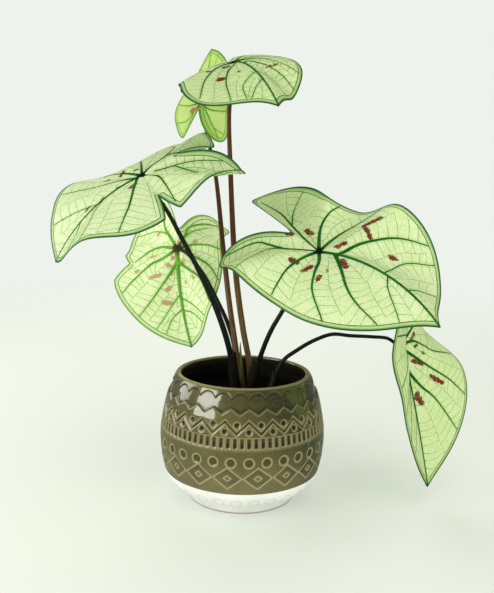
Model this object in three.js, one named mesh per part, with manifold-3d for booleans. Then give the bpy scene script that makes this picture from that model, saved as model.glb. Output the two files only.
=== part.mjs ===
// Potted caladium: six heart-shaped leaves on long stalks, rising from a tuber
// in the soil of a round ceramic pot. Millimetres, +Z up. The origin is the
// middle of the pot's foot, on the surface that the pot stands on.

import * as THREE from 'three';
import { mergeVertices } from 'three/addons/utils/BufferGeometryUtils.js';
import Module from 'manifold-3d';

const wasm = await Module();
wasm.setup();

// ---------------------------------------------------------------- driving dimensions

const GAP = 0.3; // clearance between touching pieces
const WALL = 5.5; // wall of the pot
const FLOOR = 9; // floor of the pot
const SOIL_TOP = 93; // height of the soil in the middle of the pot
const BLADE = 0.8; // thickness of a leaf blade

// Outside of the pot, from the foot to the lip: [radius, height].
const POT_PROFILE = [
  [49, 0], [50.5, 3], [57, 9.5], [62.5, 13.5], [66, 17.5], [69, 22.5], [70.3, 26.5],
  [72.3, 33], [73.6, 40], [74.5, 48], [75, 57], [74.6, 66], [73.3, 75], [71.6, 84],
  [70, 91], [68, 98], [65.6, 104.5], [63.3, 109.5], [61.6, 112.5],
];
const LIP = [[60.2, 114.3], [58.2, 115]]; // round top of the wall, outside
const MOUTH = { radius: 56.2, low: 111.3 }; // upright inside of the lip
const INNER_HEIGHTS = [15, 30, 45, 60, 75, 90, 103]; // where the hollow follows the outside
const FLOOR_CORNER = 4; // how far the wall comes in where it meets the floor

// Pressed ornament, all heights on the outside of the wall.
const RELIEF = 1.3; // depth of the ornament
const SPOKES = 72; // columns of the outer skin
const GLAZE_EDGE = 27; // where the glaze ends above the bare foot
const GLAZE_BEAD = 0.5; // how far the edge of the glaze stands out
const DIAMONDS = { low: 32, high: 51.5, repeats: 18, rows: 4 };
const PLAIN_STEP = 62.5; // smooth ring between the diamonds and the slots
const SLOTS = { low: 67.5, high: 76.5, repeats: 36, edge: 0.6 };
const GROOVE = { low: 80, swing: 6, width: 3.5, repeats: 18 };
const BAND = { low: 97, high: 109, swing: 5, repeats: 36, edge: 1 }; // its teeth face each other

const TUBER = { centre: [6, 2, 52], radius: 24, height: 28, sides: 16, rows: 10 };

// Low heaps and hollows in the soil, flat at its edge. The heaps fade out between
// the two radii, and their waves repeat over these lengths across, along and askew.
const HEAPS = { rise: 1.4, fadeFrom: 20, fadeTo: 58, across: 9, along: 11, askew: 6 };
const SOIL_RINGS = [0.75, 0.5, 0.25, 0]; // shares of the soil's radius

// A leaf blade is a set of ribs that leave the top of the stalk in all directions,
// like the hands of a clock: 0 degrees is the tip, 180 the cleft between the lobes.
// reach: length of the rib. rise: slope at the stalk. droop: slope at the margin.
// Each list starts at the cleft and goes round in steps of 30 degrees.
// crease folds the halves up along the midrib, drip draws the tip out, and a dent
// is where the margin is nicked: [direction, share of the reach, half width].
// A curl bends the ribs round one direction further: [direction, degrees, width].
const LEAVES = {
  top: {
    centre: [-13, 4, 385], yaw: -70, pitch: -18, roll: 6, crease: 10, drip: 0.25,
    reach: [60, 70, 57, 53, 67, 103, 90, 70, 60, 56, 59, 68],
    rise: [1, -12, -15, -11, -9, -10, 12, -3, 2, 1, 1, 0],
    droop: [-25, -50, -51, -44, -17, -11, -26, -33, -19, -11, -12, -14],
    cleft: { depth: 0.64, width: 12, at: 179 }, dents: [], curls: [],
    route: [[-17, 8, 348], [-15, 5, 294], [-9, 5, 206], [-1, 5, 151], [5, 4, 122], [8, 4, 94]],
    radii: { top: 1.9, stem: 2.8, sheath: 4.4 }, colour: 0x6b4a35,
  },
  young: {
    centre: [-46, 62, 358], yaw: 74, pitch: 57, roll: -18, crease: 0, drip: 0.15,
    reach: [36, 48, 40, 36, 38, 48, 56, 42, 36, 34, 34, 38],
    rise: [5, -10, 0, 0, 5, 5, -5, -5, 0, 0, 0, 0],
    droop: [5, -35, -15, -5, 10, 15, 10, -10, -15, -15, -20, -20],
    cleft: { depth: 0.73, width: 13, at: 182 }, dents: [], curls: [],
    route: [
      [-43, 68, 345], [-38, 60, 323], [-30, 46, 290], [-21, 27, 222], [-14, 15, 172],
      [-8, 8, 137], [-2, 3, 94],
    ],
    radii: { top: 1.7, stem: 2.6, sheath: 4.4 }, colour: 0x6b4a35,
  },
  left: {
    centre: [-86, -40, 287], yaw: 206, pitch: -24, roll: -16, crease: 0, drip: 0.04,
    reach: [116, 128, 82, 78, 88, 88, 98, 84, 76, 60, 67, 95],
    rise: [10, 0, 0, 5, -10, 0, 0, 0, 0, -5, 3, -14],
    droop: [10, -10, -20, -40, -5, -25, -45, -15, -20, -20, -2, 5],
    cleft: { depth: 0.69, width: 23, at: 181 }, dents: [[86, 0.43, 7]],
    curls: [[-156, -18.5, 16], [-145, 11.4, 6], [151, -14, 8.6]],
    route: [
      [-69, -33, 263], [-55, -31, 238], [-38, -26, 205], [-25, -19, 175], [-15, -13, 145],
      [-10, -10, 122], [-6, -8, 94],
    ],
    radii: { top: 1.7, stem: 2.7, sheath: 5 }, colour: 0x1c1d1a,
  },
  back: {
    centre: [-68, 74, 218], yaw: 82, pitch: -129, roll: 28, crease: 0, drip: 0.09,
    reach: [56, 58, 56, 50, 59, 79, 93, 80, 70, 54, 65, 78],
    rise: [-6, 11, 12, 4, 6, 8, 14, 0, -5, -3, 1, 0],
    droop: [-20, 47, 43, 13, 24, 20, 39, -22, -37, -39, -17, -12],
    cleft: { depth: 0.58, width: 13, at: 182 }, dents: [[69, 0.2, 13]], curls: [],
    route: [
      [-63, 64, 218], [-54, 52, 213], [-39, 34, 197], [-26, 25, 175], [-16, 20, 155],
      [-9, 17, 132], [-8, 15, 94],
    ],
    radii: { top: 1.6, stem: 2.1, sheath: 4 }, colour: 0x1c1d1a,
  },
  right: {
    centre: [60, -47, 228], yaw: -32, pitch: -18, roll: 9, crease: 5, drip: 0.18,
    reach: [80, 86, 78, 70, 80, 94, 102, 105, 84, 69, 66, 126],
    rise: [9, -4, 0, -5, -3, 6, 19, 9, 15, 10, 9, 0],
    droop: [14, -36, -30, -50, -46, -37, -36, -16, 45, 26, 45, -2],
    cleft: { depth: 0.61, width: 17, at: 179 }, dents: [], curls: [],
    route: [[46, -37, 204], [32, -30, 175], [24, -25, 159], [18, -20, 143], [13, -15, 125], [7, -9, 94]],
    radii: { top: 1.7, stem: 2.4, sheath: 5 }, colour: 0x1c1d1a,
  },
  drooping: {
    centre: [140, -8, 144], yaw: -23, pitch: -74, roll: 2, crease: 30, drip: 0.16,
    reach: [72, 84, 76, 72, 72, 80, 115, 105, 88, 72, 76, 84],
    rise: [0, 0, 5, 0, 0, -5, 0, 5, 5, 0, 0, 0],
    droop: [-10, -5, 0, -15, -15, -11, -5, 12, 15, -20, -25, -15],
    cleft: { depth: 0.72, width: 12, at: 180 }, dents: [], curls: [],
    route: [
      [128, -5, 147.5], [115, -4, 149], [95, -4, 150], [79, -4, 151], [63, -4, 145],
      [48, -5, 136], [35, -5, 125], [25, -6, 94],
    ],
    radii: { top: 1.6, stem: 1.9, sheath: 4.6 }, colour: 0x1c1d1a,
  },
};

// ---------------------------------------------------------------- small helpers

const DEG = Math.PI / 180;

const TINY = 1e-4;

const wrapped = (degrees) => ((((degrees + 180) % 360) + 360) % 360) - 180;

// Height of a unit zigzag: 1 at the start of each repeat, -1 half way.
function zigzag(turn, repeats) {
  const phase = (turn * repeats) % 1;
  return Math.abs(phase - 0.5) * 4 - 1;
}

function indexed(points, triangles) {
  const geometry = new THREE.BufferGeometry();
  geometry.setAttribute('position', new THREE.Float32BufferAttribute(points.flat(), 3));
  geometry.setIndex(triangles.flat());
  return geometry;
}

function toSolid(geometry) {
  const bare = geometry.clone();
  bare.deleteAttribute('normal');
  bare.deleteAttribute('uv');
  const merged = mergeVertices(bare, TINY);
  const vertProperties = new Float32Array(merged.attributes.position.array);
  const triVerts = new Uint32Array(merged.index.array);
  return new wasm.Manifold(new wasm.Mesh({ numProp: 3, vertProperties, triVerts }));
}

function toGeometry(solid) {
  const mesh = solid.getMesh();
  const geometry = new THREE.BufferGeometry();
  geometry.setAttribute('position', new THREE.BufferAttribute(mesh.vertProperties, 3));
  geometry.setIndex(new THREE.BufferAttribute(mesh.triVerts, 1));
  return geometry;
}

// ---------------------------------------------------------------- pot

function outerRadius(z) {
  const above = POT_PROFILE.findIndex(([, height]) => height >= z);
  const [r1, z1] = POT_PROFILE[above];
  if (above === 0) {
    return r1;
  }
  const [r0, z0] = POT_PROFILE[above - 1];
  return r0 + ((r1 - r0) * (z - z0)) / (z1 - z0);
}

const onCircle = (r, turn, z) => [
  r * Math.cos(turn * 2 * Math.PI), r * Math.sin(turn * 2 * Math.PI), z,
];

// A loop round the pot: its height and how deep it is sunk, both by the turn.
const ring = (height, depth) => Array.from({ length: SPOKES }, (_, k) => {
  const turn = k / SPOKES;
  const z = height(turn);
  return onCircle(outerRadius(z) - depth(turn, z), turn, z);
});

const level = (z) => () => z;
const plain = () => 0;
const sunk = () => RELIEF;

// A diamond sinks like a shallow pyramid.
function diamondDepth(turn, z) {
  const middle = (DIAMONDS.low + DIAMONDS.high) / 2;
  const up = Math.abs(z - middle) / (DIAMONDS.high - middle);
  const across = (1 - zigzag(turn, DIAMONDS.repeats)) / 2;
  return RELIEF * Math.max(0, 1 - up - across);
}

const slotDepth = (turn) => (zigzag(turn, SLOTS.repeats) > 0 ? 0 : RELIEF);

function potSkinRings() {
  const rings = [];
  for (const [, z] of POT_PROFILE.filter(([, height]) => height < GLAZE_EDGE)) {
    rings.push(ring(level(z), plain));
  }
  rings.push(ring(level(GLAZE_EDGE), () => -GLAZE_BEAD));
  for (let row = 0; row <= DIAMONDS.rows; row += 1) {
    const z = DIAMONDS.low + ((DIAMONDS.high - DIAMONDS.low) * row) / DIAMONDS.rows;
    rings.push(ring(level(z), diamondDepth));
  }
  rings.push(ring(level(PLAIN_STEP), plain));
  rings.push(ring(level(SLOTS.low), plain));
  rings.push(ring(level(SLOTS.low + SLOTS.edge), slotDepth));
  rings.push(ring(level(SLOTS.high - SLOTS.edge), slotDepth));
  rings.push(ring(level(SLOTS.high), plain));
  const grooveFloor = (turn) => GROOVE.low + (GROOVE.swing / 2) * (1 + zigzag(turn, GROOVE.repeats));
  rings.push(ring(grooveFloor, plain));
  rings.push(ring((turn) => grooveFloor(turn) + GROOVE.width / 2, sunk));
  rings.push(ring((turn) => grooveFloor(turn) + GROOVE.width, plain));
  const bandLow = (turn) => BAND.low + (BAND.swing / 2) * zigzag(turn, BAND.repeats);
  const bandHigh = (turn) => BAND.high - (BAND.swing / 2) * zigzag(turn, BAND.repeats);
  rings.push(ring(bandLow, plain));
  rings.push(ring((turn) => bandLow(turn) + BAND.edge, sunk));
  rings.push(ring((turn) => bandHigh(turn) - BAND.edge, sunk));
  rings.push(ring(bandHigh, plain));
  rings.push(ring(level(POT_PROFILE.at(-1)[1]), plain));
  return rings;
}

// Closes a stack of equal rings with a flat fan at each end.
function stackSolid(rings) {
  const sides = rings[0].length;
  const points = rings.flat();
  const triangles = [];
  for (let row = 0; row + 1 < rings.length; row += 1) {
    for (let k = 0; k < sides; k += 1) {
      const a = row * sides + k;
      const b = row * sides + ((k + 1) % sides);
      triangles.push([a, b, b + sides], [a, b + sides, a + sides]);
    }
  }
  const centreOf = (loop) => [0, 1, 2].map((i) => loop.reduce((sum, p) => sum + p[i], 0) / sides);
  const bottom = points.length;
  points.push(centreOf(rings[0]), centreOf(rings.at(-1)));
  const last = (rings.length - 1) * sides;
  for (let k = 0; k < sides; k += 1) {
    const next = (k + 1) % sides;
    triangles.push([bottom, next, k], [bottom + 1, last + k, last + next]);
  }
  return toSolid(indexed(points, triangles));
}

// The hollow of the pot, drawn in by `inset` for what fills it.
function hollowProfile(inset, top) {
  const inner = INNER_HEIGHTS.map((z) => [outerRadius(z) - WALL - inset, z]);
  const corner = outerRadius(FLOOR) - WALL - FLOOR_CORNER - inset;
  const below = inner.filter(([, z]) => z < top);
  const wall = top > MOUTH.low
    ? [[MOUTH.radius, MOUTH.low], [MOUTH.radius, top]]
    : [[outerRadius(top) - WALL - inset, top]];
  return [[0, FLOOR + inset], [corner, FLOOR + inset], ...below, ...wall];
}

function lathe(profile, segments) {
  const outline = profile.map(([r, z]) => new THREE.Vector2(r, z));
  const geometry = new THREE.LatheGeometry(outline, segments);
  geometry.rotateX(Math.PI / 2);
  return geometry;
}

const POT_SIDES = 36;
const CUT_ABOVE = 2; // how far the cutting shape stands out of the mouth

function potGeometry() {
  const rings = potSkinRings();
  for (const [r, z] of LIP) {
    rings.push(Array.from({ length: SPOKES }, (_, k) => onCircle(r, k / SPOKES, z)));
  }
  const above = LIP.at(-1)[1] + CUT_ABOVE;
  const hollow = toSolid(lathe([...hollowProfile(0, above), [0, above]], POT_SIDES));
  return toGeometry(stackSolid(rings).subtract(hollow));
}

// ---------------------------------------------------------------- leaves

function leafFrame(leaf) {
  const turn = new THREE.Matrix4().makeRotationZ(leaf.yaw * DEG);
  turn.multiply(new THREE.Matrix4().makeRotationY(-leaf.pitch * DEG));
  turn.multiply(new THREE.Matrix4().makeRotationX(leaf.roll * DEG));
  turn.setPosition(...leaf.centre);
  return turn;
}

const HOURS = 12; // directions that a leaf's lists give

// Smooth value of such a list at any direction.
function aroundClock(values, degrees) {
  const place = ((wrapped(degrees) + 180) / 360) * HOURS;
  const hour = Math.floor(place);
  const f = place - hour;
  const at = (k) => values[(k + HOURS) % HOURS];
  const slope0 = (at(hour + 1) - at(hour - 1)) / 2;
  const slope1 = (at(hour + 2) - at(hour)) / 2;
  const rest = at(hour) * (2 * f ** 3 - 3 * f ** 2 + 1) + at(hour + 1) * (3 * f ** 2 - 2 * f ** 3);
  return rest + slope0 * (f ** 3 - 2 * f ** 2 + f) + slope1 * (f ** 3 - f ** 2);
}

const DRIP_SPREAD = 9; // degrees over which the drawn-out tip fades

function reachAt(leaf, degrees) {
  let reach = aroundClock(leaf.reach, degrees);
  const { depth, width, at } = leaf.cleft;
  reach *= 1 - depth * Math.exp(-((wrapped(degrees - at) / width) ** 2));
  for (const [direction, share, halfWidth] of leaf.dents) {
    reach *= 1 - share * Math.max(0, 1 - Math.abs(wrapped(degrees - direction)) / halfWidth);
  }
  return reach * (1 + leaf.drip * Math.exp(-Math.abs(wrapped(degrees)) / DRIP_SPREAD));
}

// Point of the blade's middle surface: a rib bends evenly from its rise to its droop.
function bladePoint(leaf, degrees, share) {
  const side = Math.abs(Math.sin(degrees * DEG));
  const start = (aroundClock(leaf.rise, degrees) + leaf.crease * side) * DEG;
  let end = aroundClock(leaf.droop, degrees);
  for (const [direction, angle, width] of leaf.curls) {
    end += angle * Math.exp(-((wrapped(degrees - direction) / width) ** 2));
  }
  const bend = end * DEG - start || TINY;
  const reach = reachAt(leaf, degrees);
  const out = ((Math.sin(start + bend * share) - Math.sin(start)) / bend) * reach;
  const up = (-(Math.cos(start + bend * share) - Math.cos(start)) / bend) * reach;
  return [out * Math.cos(degrees * DEG), out * Math.sin(degrees * DEG), up];
}

// Rib directions of one half: even steps, closer at the tip and the cleft.
const HALF_CLOCK = [
  5, 12, 20, 30, 40, 50, 60, 70, 80, 90, 100, 110, 120, 130, 140, 150, 158, 165, 172,
];
const DENT_CLEAR = 2.5; // degrees that other ribs keep from those of a dent

function ribDirections(leaf) {
  const all = [0, 180, ...HALF_CLOCK, ...HALF_CLOCK.map((d) => -d)];
  const nicks = leaf.dents.flatMap(([direction, , halfWidth]) => [
    direction - halfWidth, direction, direction + halfWidth,
  ]);
  const clear = (d) => nicks.every((nick) => Math.abs(wrapped(d - nick)) > DENT_CLEAR);
  return [...all.filter(clear), ...nicks].sort((a, b) => a - b);
}

const RIB_SHARES = [0.2, 0.4, 0.6, 0.8, 1];

// The sheet of the blade, made thick by moving each point along its normal both ways.
function bladeGeometry(leaf) {
  const directions = ribDirections(leaf);
  const count = directions.length;
  const points = [[0, 0, 0]];
  for (const share of RIB_SHARES) {
    points.push(...directions.map((d) => bladePoint(leaf, d, share)));
  }
  const at = (row, k) => 1 + row * count + (k % count);
  const faces = [];
  for (let k = 0; k < count; k += 1) {
    faces.push([0, at(0, k), at(0, k + 1)]);
    for (let row = 0; row + 1 < RIB_SHARES.length; row += 1) {
      faces.push([at(row, k), at(row + 1, k), at(row + 1, k + 1)]);
      faces.push([at(row, k), at(row + 1, k + 1), at(row, k + 1)]);
    }
  }
  const sheet = indexed(points, faces);
  sheet.computeVertexNormals();
  const normals = sheet.attributes.normal;
  const shifted = (way) => points.map((p, i) => [
    p[0] + (normals.getX(i) * way * BLADE) / 2,
    p[1] + (normals.getY(i) * way * BLADE) / 2,
    p[2] + (normals.getZ(i) * way * BLADE) / 2,
  ]);
  const under = points.length;
  const triangles = [...faces, ...faces.map(([a, b, c]) => [under + a, under + c, under + b])];
  const rim = RIB_SHARES.length - 1;
  for (let k = 0; k < count; k += 1) {
    const a = at(rim, k);
    const b = at(rim, k + 1);
    triangles.push([a, under + a, under + b], [a, under + b, b]);
  }
  const blade = indexed([...shifted(1), ...shifted(-1)], triangles);
  blade.applyMatrix4(leafFrame(leaf));
  return blade;
}

// ---------------------------------------------------------------- stalks

const STALK_SIDES = 8;
const STALK_STEPS = 16;
const SHEATH_LENGTH = 34; // height over which the stalk widens above the soil
const STALK_START = 1.6; // from the middle of the blade to the end of the stalk
const NECK = 6; // straight start of the stalk, square to the blade
const SLIM_SHARE = 0.7; // share of the length over which the stalk thickens
const FOOT_HEIGHT = 57; // inside the tuber, which the stalk is cut back to
const FOOT_PULL = 0.1; // how far the buried foot leans towards the tuber's middle

function stalkCurve(leaf) {
  const centre = new THREE.Vector3(...leaf.centre);
  const normal = new THREE.Vector3().setFromMatrixColumn(leafFrame(leaf), 2);
  const start = centre.clone().addScaledVector(normal, -STALK_START);
  const neck = centre.clone().addScaledVector(normal, -NECK);
  const bent = leaf.route.map((p) => new THREE.Vector3(...p));
  const foot = bent.at(-1).clone().lerp(new THREE.Vector3(...TUBER.centre), FOOT_PULL);
  foot.z = FOOT_HEIGHT;
  return new THREE.CatmullRomCurve3([start, neck, ...bent, foot]);
}

function stalkRadius(leaf, share, z) {
  const { top, stem, sheath } = leaf.radii;
  const slim = top + (stem - top) * THREE.MathUtils.smoothstep(share, 0, SLIM_SHARE);
  const swell = 1 - THREE.MathUtils.smoothstep(z, SOIL_TOP, SOIL_TOP + SHEATH_LENGTH);
  return slim + (sheath - slim) * swell;
}

function stalkSolid(leaf, extra) {
  const curve = stalkCurve(leaf);
  const centres = curve.getSpacedPoints(STALK_STEPS);
  const { normals, binormals } = curve.computeFrenetFrames(STALK_STEPS, false);
  const rings = centres.map((centre, row) => {
    const radius = stalkRadius(leaf, row / STALK_STEPS, centre.z) + extra;
    return Array.from({ length: STALK_SIDES }, (_, k) => {
      const turn = (k / STALK_SIDES) * 2 * Math.PI;
      const point = centre.clone();
      point.addScaledVector(normals[row], Math.cos(turn) * radius);
      point.addScaledVector(binormals[row], Math.sin(turn) * radius);
      return point.toArray();
    });
  });
  return stackSolid(rings);
}

// ---------------------------------------------------------------- tuber and soil

function tuberSolid(extra) {
  const ball = new THREE.SphereGeometry(1, TUBER.sides, TUBER.rows);
  ball.rotateX(Math.PI / 2);
  ball.scale(TUBER.radius + extra, TUBER.radius + extra, TUBER.height / 2 + extra);
  ball.translate(...TUBER.centre);
  return toSolid(ball);
}

function soilHeight(x, y) {
  const inward = 1 - THREE.MathUtils.smoothstep(Math.hypot(x, y), HEAPS.fadeFrom, HEAPS.fadeTo);
  const broad = Math.sin(x / HEAPS.across) * Math.cos(y / HEAPS.along);
  const small = Math.sin((x + y) / HEAPS.askew) / 2;
  return (broad + small) * HEAPS.rise * inward;
}

function soilGeometry() {
  const outline = hollowProfile(GAP, SOIL_TOP);
  const rim = outline.at(-1)[0];
  const top = SOIL_RINGS.map((share) => [rim * share, SOIL_TOP]);
  const body = lathe([...outline, ...top], POT_SIDES);
  const place = body.attributes.position;
  for (let i = 0; i < place.count; i += 1) {
    if (place.getZ(i) > SOIL_TOP - TINY) {
      place.setZ(i, SOIL_TOP + soilHeight(place.getX(i), place.getY(i)));
    }
  }
  let soil = toSolid(body).subtract(tuberSolid(GAP));
  for (const leaf of Object.values(LEAVES)) {
    soil = soil.subtract(stalkSolid(leaf, GAP));
  }
  return toGeometry(soil);
}

// ---------------------------------------------------------------- the plant in its pot

const LEAF_COLOUR = 0xc9dc9c;

const plant = new THREE.Group();

function add(name, geometry, look) {
  geometry.computeVertexNormals();
  const mesh = new THREE.Mesh(geometry, new THREE.MeshStandardMaterial(look));
  mesh.name = name;
  plant.add(mesh);
}

add('pot', potGeometry(), { color: 0x87806a, roughness: 0.3, metalness: 0 });
add('soil', soilGeometry(), { color: 0x17130f, roughness: 1, metalness: 0 });
add('tuber', toGeometry(tuberSolid(0)), { color: 0x6a4a2e, roughness: 0.9, metalness: 0 });
for (const [name, leaf] of Object.entries(LEAVES)) {
  const stalk = stalkSolid(leaf, 0).subtract(tuberSolid(GAP));
  add(`petiole_${name}`, toGeometry(stalk), { color: leaf.colour, roughness: 0.5, metalness: 0 });
  add(`leaf_${name}`, bladeGeometry(leaf), { color: LEAF_COLOUR, roughness: 0.5, metalness: 0 });
}

export default plant;
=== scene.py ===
"""Potted caladium: the looks of the plant and its planter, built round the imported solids.

Lengths are given in millimetres, and MM turns them into metres where a mesh is made.
Places of lamps and camera, heights in materials and scales of patterns are in metres.
"""

import math
import random

import bmesh
import bpy
import numpy as np
from mathutils import Matrix, Vector
from mathutils.kdtree import KDTree


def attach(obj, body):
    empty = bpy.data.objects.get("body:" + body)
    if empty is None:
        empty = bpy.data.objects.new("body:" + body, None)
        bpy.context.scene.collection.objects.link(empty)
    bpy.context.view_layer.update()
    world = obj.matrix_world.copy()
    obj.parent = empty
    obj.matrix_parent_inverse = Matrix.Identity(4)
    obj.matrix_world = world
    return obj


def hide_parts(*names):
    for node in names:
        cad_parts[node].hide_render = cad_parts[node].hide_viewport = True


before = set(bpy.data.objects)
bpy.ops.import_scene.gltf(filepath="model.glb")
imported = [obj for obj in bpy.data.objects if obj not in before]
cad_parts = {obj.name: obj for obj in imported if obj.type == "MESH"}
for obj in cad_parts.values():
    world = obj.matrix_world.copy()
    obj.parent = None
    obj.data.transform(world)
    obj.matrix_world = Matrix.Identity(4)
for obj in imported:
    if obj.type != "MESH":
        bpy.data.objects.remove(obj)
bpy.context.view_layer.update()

MM = 0.001
SEED = 7

# ---------------------------------------------------------------- camera and studio

IMAGE_HEIGHT = 593
FOCAL_PIXELS = 700
SENSOR = 36.0
CAMERA_PLACE = (0.0018, -0.620, 0.279)  # metres
CAMERA_TILT = 8.8  # degrees down from level
CAMERA_ROLL = 1.2  # degrees, counter-clockwise

FLOOR_RADIUS = 1.6
FLOOR_FADE = 0.45  # radius from which the floor melts into the backdrop
FLOOR_GLOW = 0.35  # share of the floor that looks like the backdrop whatever light falls on it

DAYLIGHT = 0.82  # strength of the even light from all round
MIRRORED_DAYLIGHT = 0.17  # how bright that light looks in glaze and on glossy stalks
LAMP_TINT = (0.98, 1.0, 0.92)
# Soft lamps: place, aim, size, power, whether they light things and whether gloss mirrors them.
# The glint is only for gloss. It hangs just in front of the window, which would hide it.
LAMPS = {
    "window": ((-0.81, -0.565, 0.475), (-0.03, -0.06, 0.12), (0.6, 0.58), 4.0, True, False),
    "window_glint": ((-0.79, -0.552, 0.466), (-0.03, -0.06, 0.12), (0.62, 0.6), 8.0, False, True),
    "side_window": ((-0.98, 0.22, 0.45), (-0.05, -0.02, 0.12), (0.5, 0.55), 3.0, True, True),
    "overhead": ((0.2, -0.5, 1.4), (0, 0, 0.1), (1.0, 1.0), 4.2, True, False),
    "reflector": ((0.9, -1.0, 0.4), (0.05, 0, 0.2), (1.0, 1.0), 7.5, True, False),
    "low_fill": ((0.15, -1.2, 0.12), (-0.06, 0.05, 0.2), (0.8, 0.5), 2.4, True, False),
    "back_window": ((-0.1, 1.3, 0.9), (-0.02, 0, 0.25), (1.2, 0.9), 9.0, True, False),
}


def new_object(name, data):
    item = bpy.data.objects.new(name, data)
    bpy.context.scene.collection.objects.link(item)
    return item


def add_camera():
    data = bpy.data.cameras.new("camera")
    data.sensor_fit = "VERTICAL"
    data.sensor_height = SENSOR
    data.lens = FOCAL_PIXELS / IMAGE_HEIGHT * SENSOR
    camera = new_object("camera", data)
    tilt = Matrix.Rotation(math.radians(90 - CAMERA_TILT), 4, "X")
    roll = Matrix.Rotation(math.radians(CAMERA_ROLL), 4, "Z")
    camera.matrix_world = Matrix.Translation(CAMERA_PLACE) @ tilt @ roll
    bpy.context.scene.camera = camera


def add_lamp(name, place, aim, size, power, lights, mirrored):
    data = bpy.data.lights.new(name, "AREA")
    data.shape = "RECTANGLE"
    data.size, data.size_y = size
    data.energy = power
    data.color = LAMP_TINT
    lamp = new_object(name, data)
    towards = Vector(aim) - Vector(place)
    lamp.rotation_euler = towards.to_track_quat("-Z", "Y").to_euler()
    lamp.location = place
    lamp.visible_camera = False
    lamp.visible_glossy = mirrored
    lamp.visible_diffuse = lights
    lamp.visible_transmission = lights


# ---------------------------------------------------------------- node helpers


def feed(tree, socket, value):
    """Links a socket to another node's output, or sets its value."""
    if isinstance(value, bpy.types.NodeSocket):
        tree.links.new(value, socket)
    else:
        socket.default_value = value


def add_node(tree, kind, inputs=None, **settings):
    node = tree.nodes.new(kind)
    for name, value in settings.items():
        setattr(node, name, value)
    for name, value in (inputs or {}).items():
        feed(tree, node.inputs[name], value)
    return node


def calc(tree, operation, a, b=0.0, c=0.0):
    node = add_node(tree, "ShaderNodeMath", operation=operation)
    for socket, value in zip(node.inputs, (a, b, c)):
        feed(tree, socket, value)
    return node.outputs[0]


def step_range(tree, value, start, end, low=0.0, high=1.0):
    """A smooth change from low to high while value goes from start to end."""
    sockets = {"Value": value, "From Min": start, "From Max": end, "To Min": low, "To Max": high}
    node = add_node(tree, "ShaderNodeMapRange", sockets, interpolation_type="SMOOTHSTEP")
    return node.outputs["Result"]


def blend(tree, factor, a, b):
    """Colour a turning to colour b as the factor goes from 0 to 1."""
    return add_node(tree, "ShaderNodeMix", {0: factor, 6: a, 7: b}, data_type="RGBA").outputs[2]


def layered(tree, tone, *layers):
    """Lays colours over a tone one by one, each given as (share, colour)."""
    for share, colour in layers:
        tone = blend(tree, share, tone, colour)
    return tone


def cloud(tree, place, scale, detail=4.0, roughness=0.55):
    sockets = {"Vector": place, "Scale": scale, "Detail": detail, "Roughness": roughness}
    return add_node(tree, "ShaderNodeTexNoise", sockets).outputs["Fac"]


def stretched(tree, place, scale):
    return add_node(tree, "ShaderNodeMapping", {"Vector": place, "Scale": scale}).outputs[0]


def split(tree, vector):
    return add_node(tree, "ShaderNodeSeparateXYZ", {"Vector": vector}).outputs


def object_place(tree):
    return add_node(tree, "ShaderNodeTexCoord").outputs["Object"]


def stored(tree, name):
    """What store keeps on a mesh under that name."""
    return add_node(tree, "ShaderNodeAttribute", attribute_name=name).outputs["Vector"]


def bump(tree, height, strength, distance):
    sockets = {"Height": height, "Strength": strength, "Distance": distance}
    return add_node(tree, "ShaderNodeBump", sockets).outputs["Normal"]


def new_group(name, inputs, outputs):
    """An empty shader group. Sockets are given as {name: socket type}."""
    group = bpy.data.node_groups.new(name, "ShaderNodeTree")
    for way, sockets in (("INPUT", inputs), ("OUTPUT", outputs)):
        for label, kind in sockets.items():
            group.interface.new_socket(name=label, in_out=way, socket_type="NodeSocket" + kind)
    taken = group.nodes.new("NodeGroupInput").outputs
    given = group.nodes.new("NodeGroupOutput").inputs
    return group, taken, given


def use_group(tree, group, inputs):
    return add_node(tree, "ShaderNodeGroup", inputs, node_tree=group).outputs


def new_material(name):
    material = bpy.data.materials.new(name)
    material.use_nodes = True
    tree = material.node_tree
    tree.nodes.clear()
    return material, tree


def finish_material(tree, shader):
    """Puts the shader out to the surface."""
    add_node(tree, "ShaderNodeOutputMaterial", {"Surface": shader})


def finish_skin(tree, inputs):
    """Ends a material with one plain Principled shader."""
    finish_material(tree, add_node(tree, "ShaderNodeBsdfPrincipled", inputs).outputs[0])


def mix_shaders(tree, share, a, b):
    return add_node(tree, "ShaderNodeMixShader", {0: share, 1: a, 2: b}).outputs[0]


def share_of(tree, mask, share):
    return calc(tree, "MULTIPLY", mask, share)


def srgb(red, green, blue):
    """A colour given as it looks on a screen, 0 to 255, as linear light."""
    def linear(value):
        share = value / 255
        return share / 12.92 if share <= 0.04045 else ((share + 0.055) / 1.055) ** 2.4

    return (linear(red), linear(green), linear(blue), 1.0)


# ---------------------------------------------------------------- shared shader groups


def make_weathering():
    """Slow patches and fine grain, for anything that grew or was fired."""
    tree, taken, given = new_group(
        "patches_and_grain",
        {"Place": "Vector", "Patch Scale": "Float", "Grain Scale": "Float"},
        {"Patches": "Float", "Grain": "Float"},
    )
    patches = cloud(tree, taken["Place"], taken["Patch Scale"], 3.0)
    feed(tree, given["Patches"], step_range(tree, patches, 0.35, 0.65))
    feed(tree, given["Grain"], cloud(tree, taken["Place"], taken["Grain Scale"], 6.0, 0.7))
    return tree


CELL = 2.4  # millimetres across a mesh of the finest net
NET_LINE = (0.13, 0.02)  # distances to a mesh's edge, as shares of a mesh, where its line fades in
SCRAP = 1.3  # millimetres across one scrap of a blotch's ragged edge
RAGGED = 1.5  # how far the scraps and the slow waves push that edge, in millimetres
WAVY = 1.2
EDGE_LINE = 2.4  # width of the dark margin
EDGE_VEIN = 3.9  # how far inside the margin the vein along it runs
HALO = (2.4, 0.6)  # distances from a main vein between which the blade turns greener


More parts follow.
